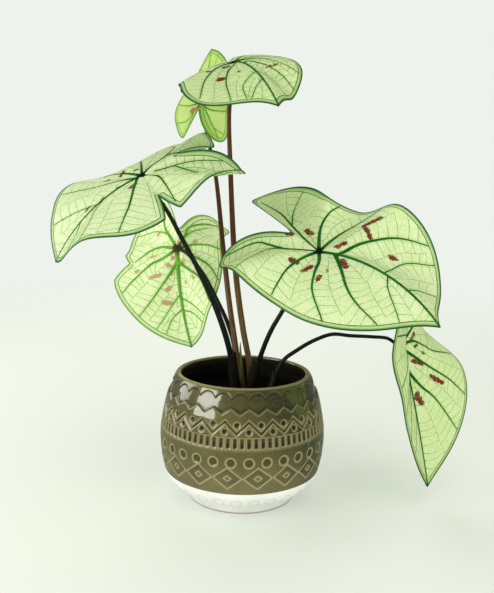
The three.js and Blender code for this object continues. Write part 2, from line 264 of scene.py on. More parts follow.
def make_blade_markings():
    """The fine net, the margin and the blotches of a leaf blade, as masks.

    Edge holds the distance to the margin, how far inside a blotch and the distance to
    the nearest main vein. Flat is the place on the blade laid flat. All in millimetres.
    """
    tree, taken, given = new_group(
        "blade_markings",
        {"Edge": "Vector", "Flat": "Vector"},
        dict.fromkeys(("Net", "Margin", "Band", "Blotch", "Halo", "Patches"), "Float"),
    )
    inside, blotched, near = split(tree, taken["Edge"])
    flat = taken["Flat"]
    cells = add_node(tree, "ShaderNodeTexVoronoi", {"Vector": flat, "Scale": 1 / CELL},
                     feature="DISTANCE_TO_EDGE")
    scraps = add_node(tree, "ShaderNodeTexVoronoi", {"Vector": flat, "Scale": 1 / SCRAP})
    ragged = split(tree, scraps.outputs["Color"])[0]
    torn = calc(tree, "MULTIPLY_ADD", ragged, RAGGED, share_of(tree, cloud(tree, flat, 0.6), WAVY))
    blotch = calc(tree, "SUBTRACT", calc(tree, "ADD", blotched, torn), 1.0)
    masks = {
        "Net": (cells.outputs["Distance"], *NET_LINE),
        "Blotch": (blotch, -0.12, 0.16),
        "Margin": (inside, EDGE_LINE, EDGE_LINE * 0.22),
        "Band": (inside, EDGE_VEIN + 0.4, EDGE_VEIN - 0.6),
        "Halo": (near, *HALO),
        "Patches": (cloud(tree, flat, 0.06, 3.0), 0.3, 0.7),
    }
    for name, (value, start, end) in masks.items():
        feed(tree, given[name], step_range(tree, value, start, end))
    return tree


WEATHERING = make_weathering()
MARKINGS = make_blade_markings()


# ---------------------------------------------------------------- materials

BACKDROP = srgb(238, 242, 236)
HUB_RADIUS = 3.6  # dark knot where the veins leave the stalk
HUB_FADE = 10.0
LEAF_THROUGH = 0.28  # share of the light that goes through one side of a blade
PALE_THROUGH = 0.2
FRESH_PATCHES = 0.4  # how much greener the greener patches of a blade are


def weathered(tree, place, patch_scale, grain_scale):
    return use_group(tree, WEATHERING,
                     {"Place": place, "Patch Scale": patch_scale, "Grain Scale": grain_scale})


def blade_material(name, tones, rough, through_share):
    """One side of a leaf blade. tones names its colours and how strongly each mark shows."""
    material, tree = new_material(name)
    flat = stored(tree, "flat")
    marks = use_group(tree, MARKINGS, {"Edge": stored(tree, "edge"), "Flat": flat})
    freshness = split(tree, flat)[2]
    fresh = calc(tree, "MULTIPLY_ADD", marks["Patches"], FRESH_PATCHES, freshness)
    marked = [(share_of(tree, marks[mark], tones[mark.lower() + "_share"]), tones[tone])
              for mark, tone in (("Net", "net"), ("Halo", "band"), ("Band", "band"), ("Blotch", "blotch"))]
    colour = layered(tree, tones["blade"], (calc(tree, "MINIMUM", fresh, 1.0), tones["blade_cool"]),
                     *marked, (marks["Margin"], tones["margin"]))
    normal = bump(tree, marks["Net"], strength=0.35, distance=0.0003)
    skin = add_node(tree, "ShaderNodeBsdfPrincipled",
                    {"Base Color": colour, "Roughness": rough, "Normal": normal, "Specular IOR Level": 0.3})
    through = add_node(tree, "ShaderNodeBsdfTranslucent", {"Color": colour, "Normal": normal})
    finish_material(tree, mix_shaders(tree, through_share, skin.outputs[0], through.outputs[0]))
    return material


def vein_material(name, colour, darker, hub, rough):
    """Veins in two greens, darkening to the hub tone close to the top of the stalk."""
    material, tree = new_material(name)
    colour, darker, hub = (srgb(*tone) for tone in (colour, darker, hub))
    parts = weathered(tree, object_place(tree), patch_scale=90.0, grain_scale=900.0)
    from_hub = split(tree, stored(tree, "hub"))[0]
    tone = layered(tree, colour, (parts["Patches"], darker),
                   (step_range(tree, from_hub, HUB_FADE, HUB_RADIUS), hub))
    finish_skin(tree, {"Base Color": tone, "Roughness": rough, "Specular IOR Level": 0.06,
                       "Normal": bump(tree, parts["Grain"], strength=0.2, distance=0.0003)})
    return material


def stalk_material(name, high_tone, low_tone, streak, low, high, rough):
    """A leaf stalk: one tone above the height high, another below low, with fine streaks."""
    material, tree = new_material(name)
    high_tone, low_tone, streak = (srgb(*tone) for tone in (high_tone, low_tone, streak))
    place = object_place(tree)
    level = split(tree, place)["Z"]
    parts = weathered(tree, stretched(tree, place, (1.0, 1.0, 0.06)), patch_scale=700.0, grain_scale=2600.0)
    tone = layered(tree, low_tone, (step_range(tree, level, low, high), high_tone),
                   (share_of(tree, parts["Patches"], 0.55), streak))
    gloss = step_range(tree, parts["Grain"], 0.3, 0.7, rough - 0.06, rough + 0.1)
    finish_skin(tree, {"Base Color": tone, "Roughness": gloss, "Specular IOR Level": 0.2,
                       "Normal": bump(tree, parts["Grain"], strength=0.25, distance=0.0004)})
    return material


def glaze_material(name, tones, rise, rough):
    """Glossy glaze that runs thin and pale on edges and thick and dark in hollows, with painted shade in the
    hollows and the deeper ornament.
    """
    material, tree = new_material(name)
    tones = {part: srgb(*tone) for part, tone in tones.items()}
    place = object_place(tree)
    depth, edge, glaze_pool_and_shade = split(tree, stored(tree, "relief"))
    across, _, level = split(tree, place)
    parts = weathered(tree, place, patch_scale=28.0, grain_scale=420.0)
    # Greener glaze towards the top and the right side, darkened there also as painted shade on the side away
    # from the window.
    leaning = calc(tree, "MULTIPLY_ADD", level, 0.8, across)
    body = layered(
        tree, tones["low"],
        (step_range(tree, level, *rise), tones["high"]),
        (step_range(tree, leaning, 0.05, 0.12, 0.0, 0.85), tones["olive"]),
        (share_of(tree, parts["Patches"], 0.22), tones["glaze_pool_and_shade"]),
        # Painted shade: the deeper the ornament is pressed in, the darker its glaze.
        (step_range(tree, depth, 0.1, 1.2, 0.0, 0.2), tones["glaze_pool_and_shade"]),
        # Thick glaze and painted shade in the hollows.
        (share_of(tree, glaze_pool_and_shade, 0.93), tones["glaze_pool_and_shade"]),
        (share_of(tree, edge, 0.66), tones["thin"]),
        (step_range(tree, parts["Grain"], 0.35, 0.7, 0.0, 0.06), tones["thin"]),
    )
    broken = calc(tree, "MAXIMUM", share_of(tree, glaze_pool_and_shade, 0.8), share_of(tree, edge, 0.7))
    finish_skin(tree, {"Base Color": body, "Roughness": rough, "Coat Roughness": 0.05, "Coat IOR": 1.6,
                       "Coat Weight": calc(tree, "SUBTRACT", 1.0, broken), "Specular IOR Level": 0.2,
                       "Normal": bump(tree, parts["Patches"], strength=0.08, distance=0.0006)})
    return material


def clay_material():
    """Bare white clay, with faint specks, painted shade round the pressed prints and a rust-red line where it
    meets the ground.
    """
    material, tree = new_material("bare_white_clay")
    place = object_place(tree)
    level = split(tree, place)["Z"]
    parts = weathered(tree, place, patch_scale=45.0, grain_scale=1500.0)
    hollow = split(tree, stored(tree, "relief"))[2]
    speck = step_range(tree, parts["Grain"], 0.70, 0.76)
    tone = layered(
        tree, srgb(224, 224, 223),
        (parts["Patches"], srgb(215, 215, 212)),
        # Painted shade round the pressed prints.
        (share_of(tree, hollow, 0.5), srgb(176, 175, 160)),
        (share_of(tree, speck, 0.5), srgb(150, 120, 95)),
        (step_range(tree, level, 0.0016, 0.0002, 0.0, 0.85), srgb(142, 92, 70)),
    )
    finish_skin(tree, {"Base Color": tone, "Roughness": 0.62,
                       "Normal": bump(tree, parts["Grain"], strength=0.15, distance=0.0003)})
    return material


def earth_material(name, dark, light, light_share, rough):
    """Damp, crumbly matter: soil and the skin of the tuber."""
    material, tree = new_material(name)
    parts = weathered(tree, object_place(tree), patch_scale=160.0, grain_scale=900.0)
    tone = layered(tree, dark, (step_range(tree, parts["Grain"], 0.42, 0.75, 0.0, light_share), light),
                   (share_of(tree, parts["Patches"], 0.4), dark))
    finish_skin(tree, {"Base Color": tone, "Roughness": rough, "Specular IOR Level": 0.1,
                       "Normal": bump(tree, parts["Grain"], strength=0.8, distance=0.0012)})
    return material


def floor_material():
    """Pale matte studio floor, lit like the backdrop, that melts into it far out."""
    material, tree = new_material("studio_floor")
    place = object_place(tree)
    distance = add_node(tree, "ShaderNodeVectorMath", {0: place}, operation="LENGTH").outputs["Value"]
    cover = step_range(tree, distance, FLOOR_RADIUS, FLOOR_FADE)
    rays = add_node(tree, "ShaderNodeLightPath").outputs
    # Painted reflection and bounce: the floor shows darker in gloss and paler in the light it throws back
    # than in its own tone.
    tone = layered(tree, srgb(212, 216, 205), (rays["Is Glossy Ray"], srgb(120, 122, 112)),
                   (rays["Is Diffuse Ray"], srgb(244, 247, 240)))
    skin = add_node(tree, "ShaderNodeBsdfPrincipled", {"Base Color": tone, "Roughness": 0.8})
    glow = add_node(tree, "ShaderNodeEmission", {"Color": BACKDROP})
    clear = add_node(tree, "ShaderNodeBsdfTransparent")
    seen = share_of(tree, rays["Is Camera Ray"], FLOOR_GLOW)
    lit = mix_shaders(tree, seen, skin.outputs[0], glow.outputs[0])
    finish_material(tree, mix_shaders(tree, cover, clear.outputs[0], lit))
    return material


# ---------------------------------------------------------------- mesh helpers


def finish_piece(name, mesh, materials, node):
    """Makes the mesh a finished piece that rides on the plant's one body."""
    for material in materials:
        mesh.materials.append(material)
    piece = new_object(name, mesh)
    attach(piece, "root")
    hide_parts(node)
    return piece


def to_mesh(name, bm, smooth=True):
    mesh = bpy.data.meshes.new(name)
    for face in bm.faces:
        face.smooth = smooth
    bm.to_mesh(mesh)
    bm.free()
    return mesh


def places_of(mesh):
    """The mesh's vertices as an array of millimetres."""
    flat = np.empty(len(mesh.vertices) * 3)
    mesh.vertices.foreach_get("co", flat)
    return flat.reshape(-1, 3) / MM


def set_places(mesh, places):
    mesh.vertices.foreach_set("co", (places * MM).ravel())
    mesh.update()


def store(mesh, name, columns):
    """Keeps three values for each vertex, for the materials to read."""
    attribute = mesh.attributes.new(name, "FLOAT_VECTOR", "POINT")
    attribute.data.foreach_set("vector", np.stack(columns, 1).ravel())


def spun(outline, steps):
    """A bmesh of the outline of [radius, height] points in millimetres, turned round Z."""
    bm = bmesh.new()
    chain = [bm.verts.new((radius * MM, 0.0, height * MM)) for radius, height in outline]
    edges = [bm.edges.new(pair) for pair in zip(chain, chain[1:])]
    bmesh.ops.spin(bm, geom=chain + edges, cent=(0, 0, 0), axis=(0, 0, 1), angle=2 * math.pi,
                   steps=steps, use_merge=True)
    bmesh.ops.remove_doubles(bm, verts=bm.verts, dist=0.001 * MM)
    return bm


def thicken(piece, thickness, under=0, rim=0):
    """Gives an open sheet a thickness. Under and rim say how far down the list their looks are."""
    wall = piece.modifiers.new("thickness", "SOLIDIFY")
    wall.thickness = thickness * MM
    wall.offset = 0
    wall.material_offset = under
    wall.material_offset_rim = rim


def tube_template(name, stations, sides, closed=False):
    """A plain tube with the station and the turn of each vertex, for shape_tube."""
    bm = bmesh.new()
    bmesh.ops.create_cone(bm, cap_ends=not closed, segments=sides, radius1=1, radius2=1, depth=2)
    upright = [edge for edge in bm.edges if abs(edge.verts[0].co.z - edge.verts[1].co.z) > 1]
    bmesh.ops.subdivide_edges(bm, edges=upright, cuts=stations - 2)
    mesh = to_mesh(name, bm)
    places = places_of(mesh) * MM
    station = np.rint((places[:, 2] + 1) / 2 * (stations - 1)).astype(int)
    return mesh, station, np.arctan2(places[:, 1], places[:, 0])


def shape_tube(template, places, side, up, wide, high):
    """Lays the tube along places, with its half width and half height at each station."""
    mesh, station, turn = template
    across = side[station] * (np.cos(turn) * wide[station])[:, None]
    upward = up[station] * (np.sin(turn) * high[station])[:, None]
    set_places(mesh, places[station] + across + upward)
    return mesh


# ---------------------------------------------------------------- curves


def soft_step(value):
    share = np.clip(value, 0, 1)
    return share * share * (3 - 2 * share)


def bell(value, middle, width):
    """1 at the middle, falling off smoothly to both sides."""
    return np.exp(-(((value - middle) / width) ** 2))


def unit(arrows):
    return arrows / np.linalg.norm(arrows, axis=1, keepdims=True)


def curve(start, end, leaving, arriving, f):
    """The way from start to end at share f, with the slopes that it leaves and arrives with."""
    return (start * (2 * f**3 - 3 * f**2 + 1) + end * (3 * f**2 - 2 * f**3)
            + leaving * (f**3 - 2 * f**2 + f) + arriving * (f**3 - f**2))


def with_far_ends(points):
    """The points with one more beyond each end, which sets the slope there."""
    return np.vstack([2 * points[0] - points[1], points, 2 * points[-1] - points[-2]])


def smooth_line(points, count):
    """A smooth line through the points, with that many places on it."""
    points = np.asarray(points, float)
    padded = with_far_ends(points)
    span = np.linspace(0, len(points) - 1, count)
    k = np.minimum(span.astype(int), len(points) - 2)
    before, here, after, beyond = (padded[k + i] for i in range(4))
    return curve(here, after, (after - before) / 2, (beyond - here) / 2, (span - k)[:, None])


def walked_along(line):
    """The way walked from the start of the line to each of its places."""
    return np.concatenate([[0], np.cumsum(np.linalg.norm(np.diff(line, axis=0), axis=1))])


def places_on(line, walked):
    """Places on the line after that much of the way."""
    along = walked_along(line)
    return np.stack([np.interp(walked, along, column) for column in line.T], -1)


def evenly(line, count):
    """The same line with that many places, in even steps."""
    return places_on(line, np.linspace(0, walked_along(line)[-1], count))


# ---------------------------------------------------------------- pot

# Outside of the pot, from the foot to the lip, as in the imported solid: [radius, height].
POT_PROFILE = np.array([
    [49, 0], [50.5, 3], [57, 9.5], [62.5, 13.5], [66, 17.5], [69, 22.5], [70.3, 26.5],
    [72.3, 33], [73.6, 40], [74.5, 48], [75, 57], [74.6, 66], [73.3, 75], [71.6, 84],
    [70, 91], [68, 98], [65.6, 104.5], [63.3, 109.5], [61.6, 112.5],
])
LIP = [[61.1, 113.4], [60.3, 114.3], [59.3, 114.8], [58.2, 115], [57.1, 114.7], [56.4, 114.1],
       [56.2, 113.2]]
INSIDE = [[56.2, 111.3], [58.3, 107], [60.8, 103], [64.5, 90], [67.8, 75], [69.1, 60], [68.7, 45],
          [65.8, 30], [60, 15], [47, 9], [0, 9]]
WALL = 5.5
LIP_FOOT = 113.0
LIP_CREST = 114.6
GLAZE_EDGE = 27.0  # the glaze ends at this height, in a bead that stands out a little
BEAD = {"above": 0.8, "width": 0.9, "tall": 0.35}
POT_STEPS = 600
SHADED_INNER_GLAZE, CLAY = 1, 2  # places in the pot's looks, after the outer glaze; the inner one is painted shade

# Rows of the outer skin: from, to and their spacing, closer where there is ornament.
POT_ROWS = [(0, 12, 2.0), (12, 22, 0.9), (22, GLAZE_EDGE, 1.4), (GLAZE_EDGE, 31, 1.0), (31, 61, 0.72),
            (61, 67, 2.0), (67, 77.2, 0.68), (77.2, 92, 0.7), (92, 112.5, 0.74)]

# Bands of the ornament: repeats round the pot, turn of one motif in degrees from the
# front, and heights.
DIAMONDS = {"repeats": 18, "turn": 11.0, "middle": 42.0, "wide": 12.3, "high": 9.7}
DIAMOND_SIZES = ((1.0, 0.5), (0.26, 0.3))  # each with how deep the inside is pressed
RINGS = {"repeats": 31, "turn": 4.9, "middle": 55.8, "radius": 4.25, "deep": 0.8}
SLOTS = {"repeats": 78, "turn": 0.2, "middle": 72.0, "wide": 1.9, "high": 4.3}
ZIGZAG = {"repeats": 22, "turn": 4.7, "low": 79.6, "high": 89.2, "line": 1.1}
DOTS = {"radius": 2.55, "upper": 86.7, "lower": 81.3}
SCALLOPS = {"repeats": 28, "turn": -1.6, "low": 94.6, "low_tooth": 5.0, "low_bend": 1.1,
            "high": 111.6, "high_tooth": 4.4, "high_bend": 2.4}
PRINTS = {"repeats": 27, "turn": -3.5, "middle": 16.4, "wide": 5.4, "high": 3.9, "deep": 0.6, "slope": 1.4}
PRINT_SIZE = 3.6  # turns shares of a print's size into millimetres

PRESSED = 1.25  # depth of what is pressed in
RAISED = 0.75  # height of the raised lines
LINE = 0.62  # half width of a raised line
SLOPE = 0.75  # width of the sloping side of a motif
EARLY_SLOPE = 0.3  # share of the slope that lies outside the outline
THIN_LINE = (0.25, 0.5)  # middle and width of the thin glaze beside a pressed outline
THICK_GLAZE_AND_SHADE = (-0.75, 0.55)  # and of the thick glaze inside it, darkened further as painted shade
TOOTH_SHADE = (1.7, 1.5)  # and of the painted shade over the points of the scallops
FRONT = -90.0  # direction of the front of the pot


def outer_radius(height):
    return np.interp(height, POT_PROFILE[:, 1], POT_PROFILE[:, 0])


def pot_levels():
    """Heights of the rows of the outer skin."""
    rows = []
    for low, high, spacing in POT_ROWS:
        count = max(1, round((high - low) / spacing))
        rows.extend(low + (high - low) * k / count for k in range(count))
    return [*rows, POT_PROFILE[-1, 1]]


def across_motif(degrees, radius, band):
    """Distance round the pot to the middle of the nearest motif, and that as a share of the pitch."""
    pitch = 360 / band["repeats"]
    share = (degrees - band["turn"]) / pitch
    share = share - np.round(share)
    return np.radians(share * pitch) * radius, share


def pot_relief(degrees, height):
    """Depth of the ornament, thin glaze on its edges, and thick glaze and painted shade in its hollows.

    Taken at turns from the front and heights. Raised lines have a depth below 0.
    """
    radius = outer_radius(height)
    depth = np.zeros_like(height)
    edge = np.zeros_like(height)
    glaze_pool_and_shade = np.zeros_like(height)

    def press(distance, deep, painted_shade_floor=0.0):
        """Presses in what lies inside the outline, where distance is below 0, with painted shade along its
        foot and on its floor.
        """
        nonlocal depth, edge, glaze_pool_and_shade
        depth = np.maximum(depth, deep * soft_step(-distance / SLOPE + EARLY_SLOPE))
        edge = np.maximum(edge, bell(distance, *THIN_LINE) * min(1, deep / PRESSED + 0.2))
        # Painted shade: a dark line just inside the outline, over the thick glaze there.
        thick_glaze_and_shade = bell(distance, *THICK_GLAZE_AND_SHADE) * min(1, deep)
        glaze_pool_and_shade = np.maximum(glaze_pool_and_shade, np.maximum(thick_glaze_and_shade, painted_shade_floor * soft_step(-distance / SLOPE)))

    def raise_line(distance):
        nonlocal depth, edge
        line = soft_step((LINE + SLOPE / 2 - np.abs(distance)) / SLOPE)
        depth = depth - RAISED * line
        edge = np.maximum(edge, line)

    across, _ = across_motif(degrees, radius, SLOTS)
    side = np.abs(across) - SLOTS["wide"]
    end = np.abs(height - SLOTS["middle"]) - SLOTS["high"]
    # Painted shadow: the lower part of each slot is darker, as if its upper edge shaded it.
    shaded_lower_part = soft_step((SLOTS["middle"] + SLOTS["high"] * 0.8 - height) / SLOTS["high"])
    press(np.maximum(side, end), PRESSED, painted_shade_floor=shaded_lower_part)

    _, share = across_motif(degrees, radius, ZIGZAG)
    middle = ZIGZAG["high"] - (ZIGZAG["high"] - ZIGZAG["low"]) * 2 * np.abs(share)
    press(np.abs(height - middle) * math.cos(math.pi / 4) - ZIGZAG["line"], PRESSED, painted_shade_floor=0.85)
    for level, half_turn in ((DOTS["lower"], 0.0), (DOTS["upper"], 0.5)):
        moved = dict(ZIGZAG, turn=ZIGZAG["turn"] + half_turn * 360 / ZIGZAG["repeats"])
        across, _ = across_motif(degrees, radius, moved)
        press(np.hypot(across, height - level) - DOTS["radius"], PRESSED, painted_shade_floor=0.9)

    _, share = across_motif(degrees, radius, SCALLOPS)
    from_middle = 2 * np.abs(share)
    arch = SCALLOPS["high"] - SCALLOPS["high_tooth"] * from_middle ** SCALLOPS["high_bend"]
    point = SCALLOPS["low"] + SCALLOPS["low_tooth"] * from_middle ** SCALLOPS["low_bend"]
    bright_edges = edge
    press(np.maximum(point - height, height - arch) * 0.8, PRESSED)
    low_edge = soft_step((SCALLOPS["low"] + SCALLOPS["low_tooth"] + 1 - height) / 2)
    edge = np.maximum(bright_edges, edge * (0.15 + 0.35 * low_edge))
    # Painted shade in the recess just above the points of the scallops.
    in_tooth = soft_step(1.4 - 1.3 * from_middle) * (height > point)
    glaze_pool_and_shade = np.maximum(glaze_pool_and_shade, 0.75 * bell(height - point, *TOOTH_SHADE) * in_tooth)

    across, _ = across_motif(degrees, radius, RINGS)
    distance = np.hypot(across, height - RINGS["middle"]) - RINGS["radius"]
    press(distance + LINE, RINGS["deep"], painted_shade_floor=0.4)
    raise_line(distance)

    across, _ = across_motif(degrees, radius, DIAMONDS)
    upright = np.abs(height - DIAMONDS["middle"])
    for size, deep in DIAMOND_SIZES:
        wide = DIAMONDS["wide"] * size
        high = DIAMONDS["high"] * size
        distance = (np.abs(across) / wide + upright / high - 1) / math.hypot(1 / wide, 1 / high)
        press(distance + LINE, deep, painted_shade_floor=0.2)
        raise_line(distance)

    across, _ = across_motif(degrees, radius, PRINTS)
    size = np.hypot(across / PRINTS["wide"], (height - PRINTS["middle"]) / PRINTS["high"])
    distance = (size - 1) * PRINT_SIZE
    depth = np.maximum(depth, PRINTS["deep"] * soft_step(-distance / PRINTS["slope"]))
    # Painted shade: a darker ring round each pressed print.
    glaze_pool_and_shade = np.maximum(glaze_pool_and_shade, bell(distance, -0.5, 0.6))
    return depth, edge, glaze_pool_and_shade


OUTSIDE_TONES = {"low": (107, 100, 68), "high": (84, 80, 40), "olive": (28, 31, 5),
                 "glaze_pool_and_shade": (18, 15, 4), "thin": (166, 153, 112)}
# The inside: the same glaze painted dark as shade, and less dark high up, where light falls in.
SHADED_INSIDE_TONES = {"low": (16, 14, 10), "high": (46, 42, 33), "olive": (40, 38, 28),
                "glaze_pool_and_shade": (14, 12, 9), "thin": (90, 82, 62)}


def make_pot():
    skin = [[0, 0]] + [[float(outer_radius(z)), z] for z in pot_levels()]
    bm = spun(skin + LIP + INSIDE, POT_STEPS)
    bmesh.ops.recalc_face_normals(bm, faces=bm.faces)
    for face in bm.faces:
        middle = face.calc_center_median() / MM
        inner = math.hypot(middle.x, middle.y) < float(outer_radius(middle.z)) - WALL / 2
        if middle.z < GLAZE_EDGE and not (inner and middle.z > 1):
            face.material_index = CLAY
        elif inner and middle.z < LIP_FOOT:
            face.material_index = SHADED_INNER_GLAZE
    mesh = to_mesh("pot", bm)
    places = places_of(mesh)
    height = places[:, 2]
    radius = np.hypot(places[:, 0], places[:, 1])
    turn = np.degrees(np.arctan2(places[:, 1], places[:, 0])) - FRONT
    on_skin = (np.abs(radius - outer_radius(height)) < 0.05) & (height > 0.5)
    depth, edge, glaze_pool_and_shade = (np.where(on_skin, value, 0) for value in pot_relief(turn, height))
    lip = soft_step(1 - np.abs(height - LIP_CREST) / 1.2) * (height > LIP_FOOT)
    edge = np.maximum(edge, lip * 0.8)
    bead = BEAD["tall"] * bell(height, GLAZE_EDGE + BEAD["above"], BEAD["width"]) * on_skin
    places[:, :2] *= (1 - (depth - bead) / np.maximum(radius, 1))[:, None]
    set_places(mesh, places)
    store(mesh, "relief", (depth, edge, glaze_pool_and_shade))
    looks = [glaze_material("olive_taupe_glaze", OUTSIDE_TONES, rise=(0.032, 0.062), rough=0.2),
             glaze_material("inner_glaze_painted_shade", SHADED_INSIDE_TONES, rise=(0.093, 0.11), rough=0.35),
             clay_material()]
    finish_piece("pot_body", mesh, looks, "pot")


# ---------------------------------------------------------------- leaf blades

# A blade is a set of ribs that leave the top of the stalk in all directions, like the
# hands of a clock: 0 degrees is the tip, 180 the cleft. Each list starts at the cleft
# and goes round in steps of 30 degrees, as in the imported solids. Curls bend a rib's end
# further down or up, dents shorten ribs, both at (direction, how much, width). The route
# is the stalk's, from the blade down. Fit keeps the finely cut margins inside the packed
# ones, fresh is how green the blade is and stout how wide its main veins are.
LEAVES = {
    "top": {
        "centre": (-13, 4, 385), "yaw": -70, "pitch": -18, "roll": 6, "crease": 10, "drip": 0.25,
        "reach": [60, 70, 57, 53, 67, 103, 90, 70, 60, 56, 59, 68],
        "rise": [1, -12, -15, -11, -9, -10, 12, -3, 2, 1, 1, 0],
        "droop": [-25, -50, -51, -44, -17, -11, -26, -33, -19, -11, -12, -14],
        "cleft": (0.64, 12, 179),
        "route": [(-17, 8, 348), (-15, 5, 294), (-9, 5, 206), (-1, 5, 151), (5, 4, 122), (8, 4, 94)],
        "radii": (1.9, 2.8, 4.4),
        "fit": 0.994, "fresh": 0.5, "stout": 0.85,
    },
    "young": {
        "centre": (-46, 62, 358), "yaw": 74, "pitch": 57, "roll": -18, "crease": 0, "drip": 0.15,
        "reach": [36, 48, 40, 36, 38, 48, 56, 42, 36, 34, 34, 38],
        "rise": [5, -10, 0, 0, 5, 5, -5, -5, 0, 0, 0, 0],
        "droop": [5, -35, -15, -5, 10, 15, 10, -10, -15, -15, -20, -20],
        "cleft": (0.73, 13, 182),
        "route": [(-43, 68, 345), (-38, 60, 323), (-30, 46, 290), (-21, 27, 222), (-14, 15, 172),
                  (-8, 8, 137), (-2, 3, 94)],
        "radii": (1.7, 2.6, 4.4),
        "fit": 0.994, "fresh": 0.2, "stout": 0.8,
    },
    "left": {
        "centre": (-86, -40, 287), "yaw": 206, "pitch": -24, "roll": -16, "crease": 0, "drip": 0.04,
        "reach": [116, 128, 82, 78, 88, 88, 98, 84, 76, 60, 67, 95],
        "rise": [10, 0, 0, 5, -10, 0, 0, 0, 0, -5, 3, -14],
        "droop": [10, -10, -20, -40, -5, -25, -45, -15, -20, -20, -2, 5],
        "cleft": (0.69, 23, 181), "dents": [(86, 0.43, 7)],
        "curls": [(-156, -18.5, 16), (-145, 11.4, 6), (151, -14, 8.6)],
        "route": [(-69, -33, 263), (-55, -31, 238), (-38, -26, 205), (-25, -19, 175), (-15, -13, 145),
                  (-10, -10, 122), (-6, -8, 94)],
        "radii": (1.7, 2.7, 5),
        "fit": 0.994, "fresh": 0.0, "stout": 0.95,
    },
    "back": {
        "centre": (-68, 74, 218), "yaw": 82, "pitch": -129, "roll": 28, "crease": 0, "drip": 0.09,
        "reach": [56, 58, 56, 50, 59, 79, 93, 80, 70, 54, 65, 78],
        "rise": [-6, 11, 12, 4, 6, 8, 14, 0, -5, -3, 1, 0],
        "droop": [-20, 47, 43, 13, 24, 20, 39, -22, -37, -39, -17, -12],
        "cleft": (0.58, 13, 182), "dents": [(69, 0.2, 13)],
        "route": [(-63, 64, 218), (-54, 52, 213), (-39, 34, 197), (-26, 25, 175), (-16, 20, 155),
                  (-9, 17, 132), (-8, 15, 94)],
        "radii": (1.6, 2.1, 4),
        "fit": 0.985, "fresh": 0.0, "stout": 1.0,
    },
    "right": {
        "centre": (60, -47, 228), "yaw": -32, "pitch": -18, "roll": 9, "crease": 5, "drip": 0.18,
        "reach": [80, 86, 78, 70, 80, 94, 102, 105, 84, 69, 66, 126],
        "rise": [9, -4, 0, -5, -3, 6, 19, 9, 15, 10, 9, 0],
        "droop": [14, -36, -30, -50, -46, -37, -36, -16, 45, 26, 45, -2],
        "cleft": (0.61, 17, 179),
        "route": [(46, -37, 204), (32, -30, 175), (24, -25, 159), (18, -20, 143), (13, -15, 125),
                  (7, -9, 94)],
        "radii": (1.7, 2.4, 5),
        "fit": 0.99, "fresh": 0.25, "stout": 1.2,
    },
    "drooping": {
        "centre": (140, -8, 144), "yaw": -23, "pitch": -74, "roll": 2, "crease": 30, "drip": 0.16,
        "reach": [72, 84, 76, 72, 72, 80, 115, 105, 88, 72, 76, 84],
        "rise": [0, 0, 5, 0, 0, -5, 0, 5, 5, 0, 0, 0],
        "droop": [-10, -5, 0, -15, -15, -11, -5, 12, 15, -20, -25, -15],
        "cleft": (0.72, 12, 180),
        "neck": 3.0,
        "route": [(129, -5.2, 148.4), (115, -4, 149.4), (95, -4, 150), (79, -4, 151), (63, -4, 145),
                  (48, -5, 136), (35, -5, 125), (25, -6, 94)],
        "radii": (1.6, 1.9, 4.6),
        "fit": 0.993, "fresh": 0.5, "stout": 1.15,
    },
}

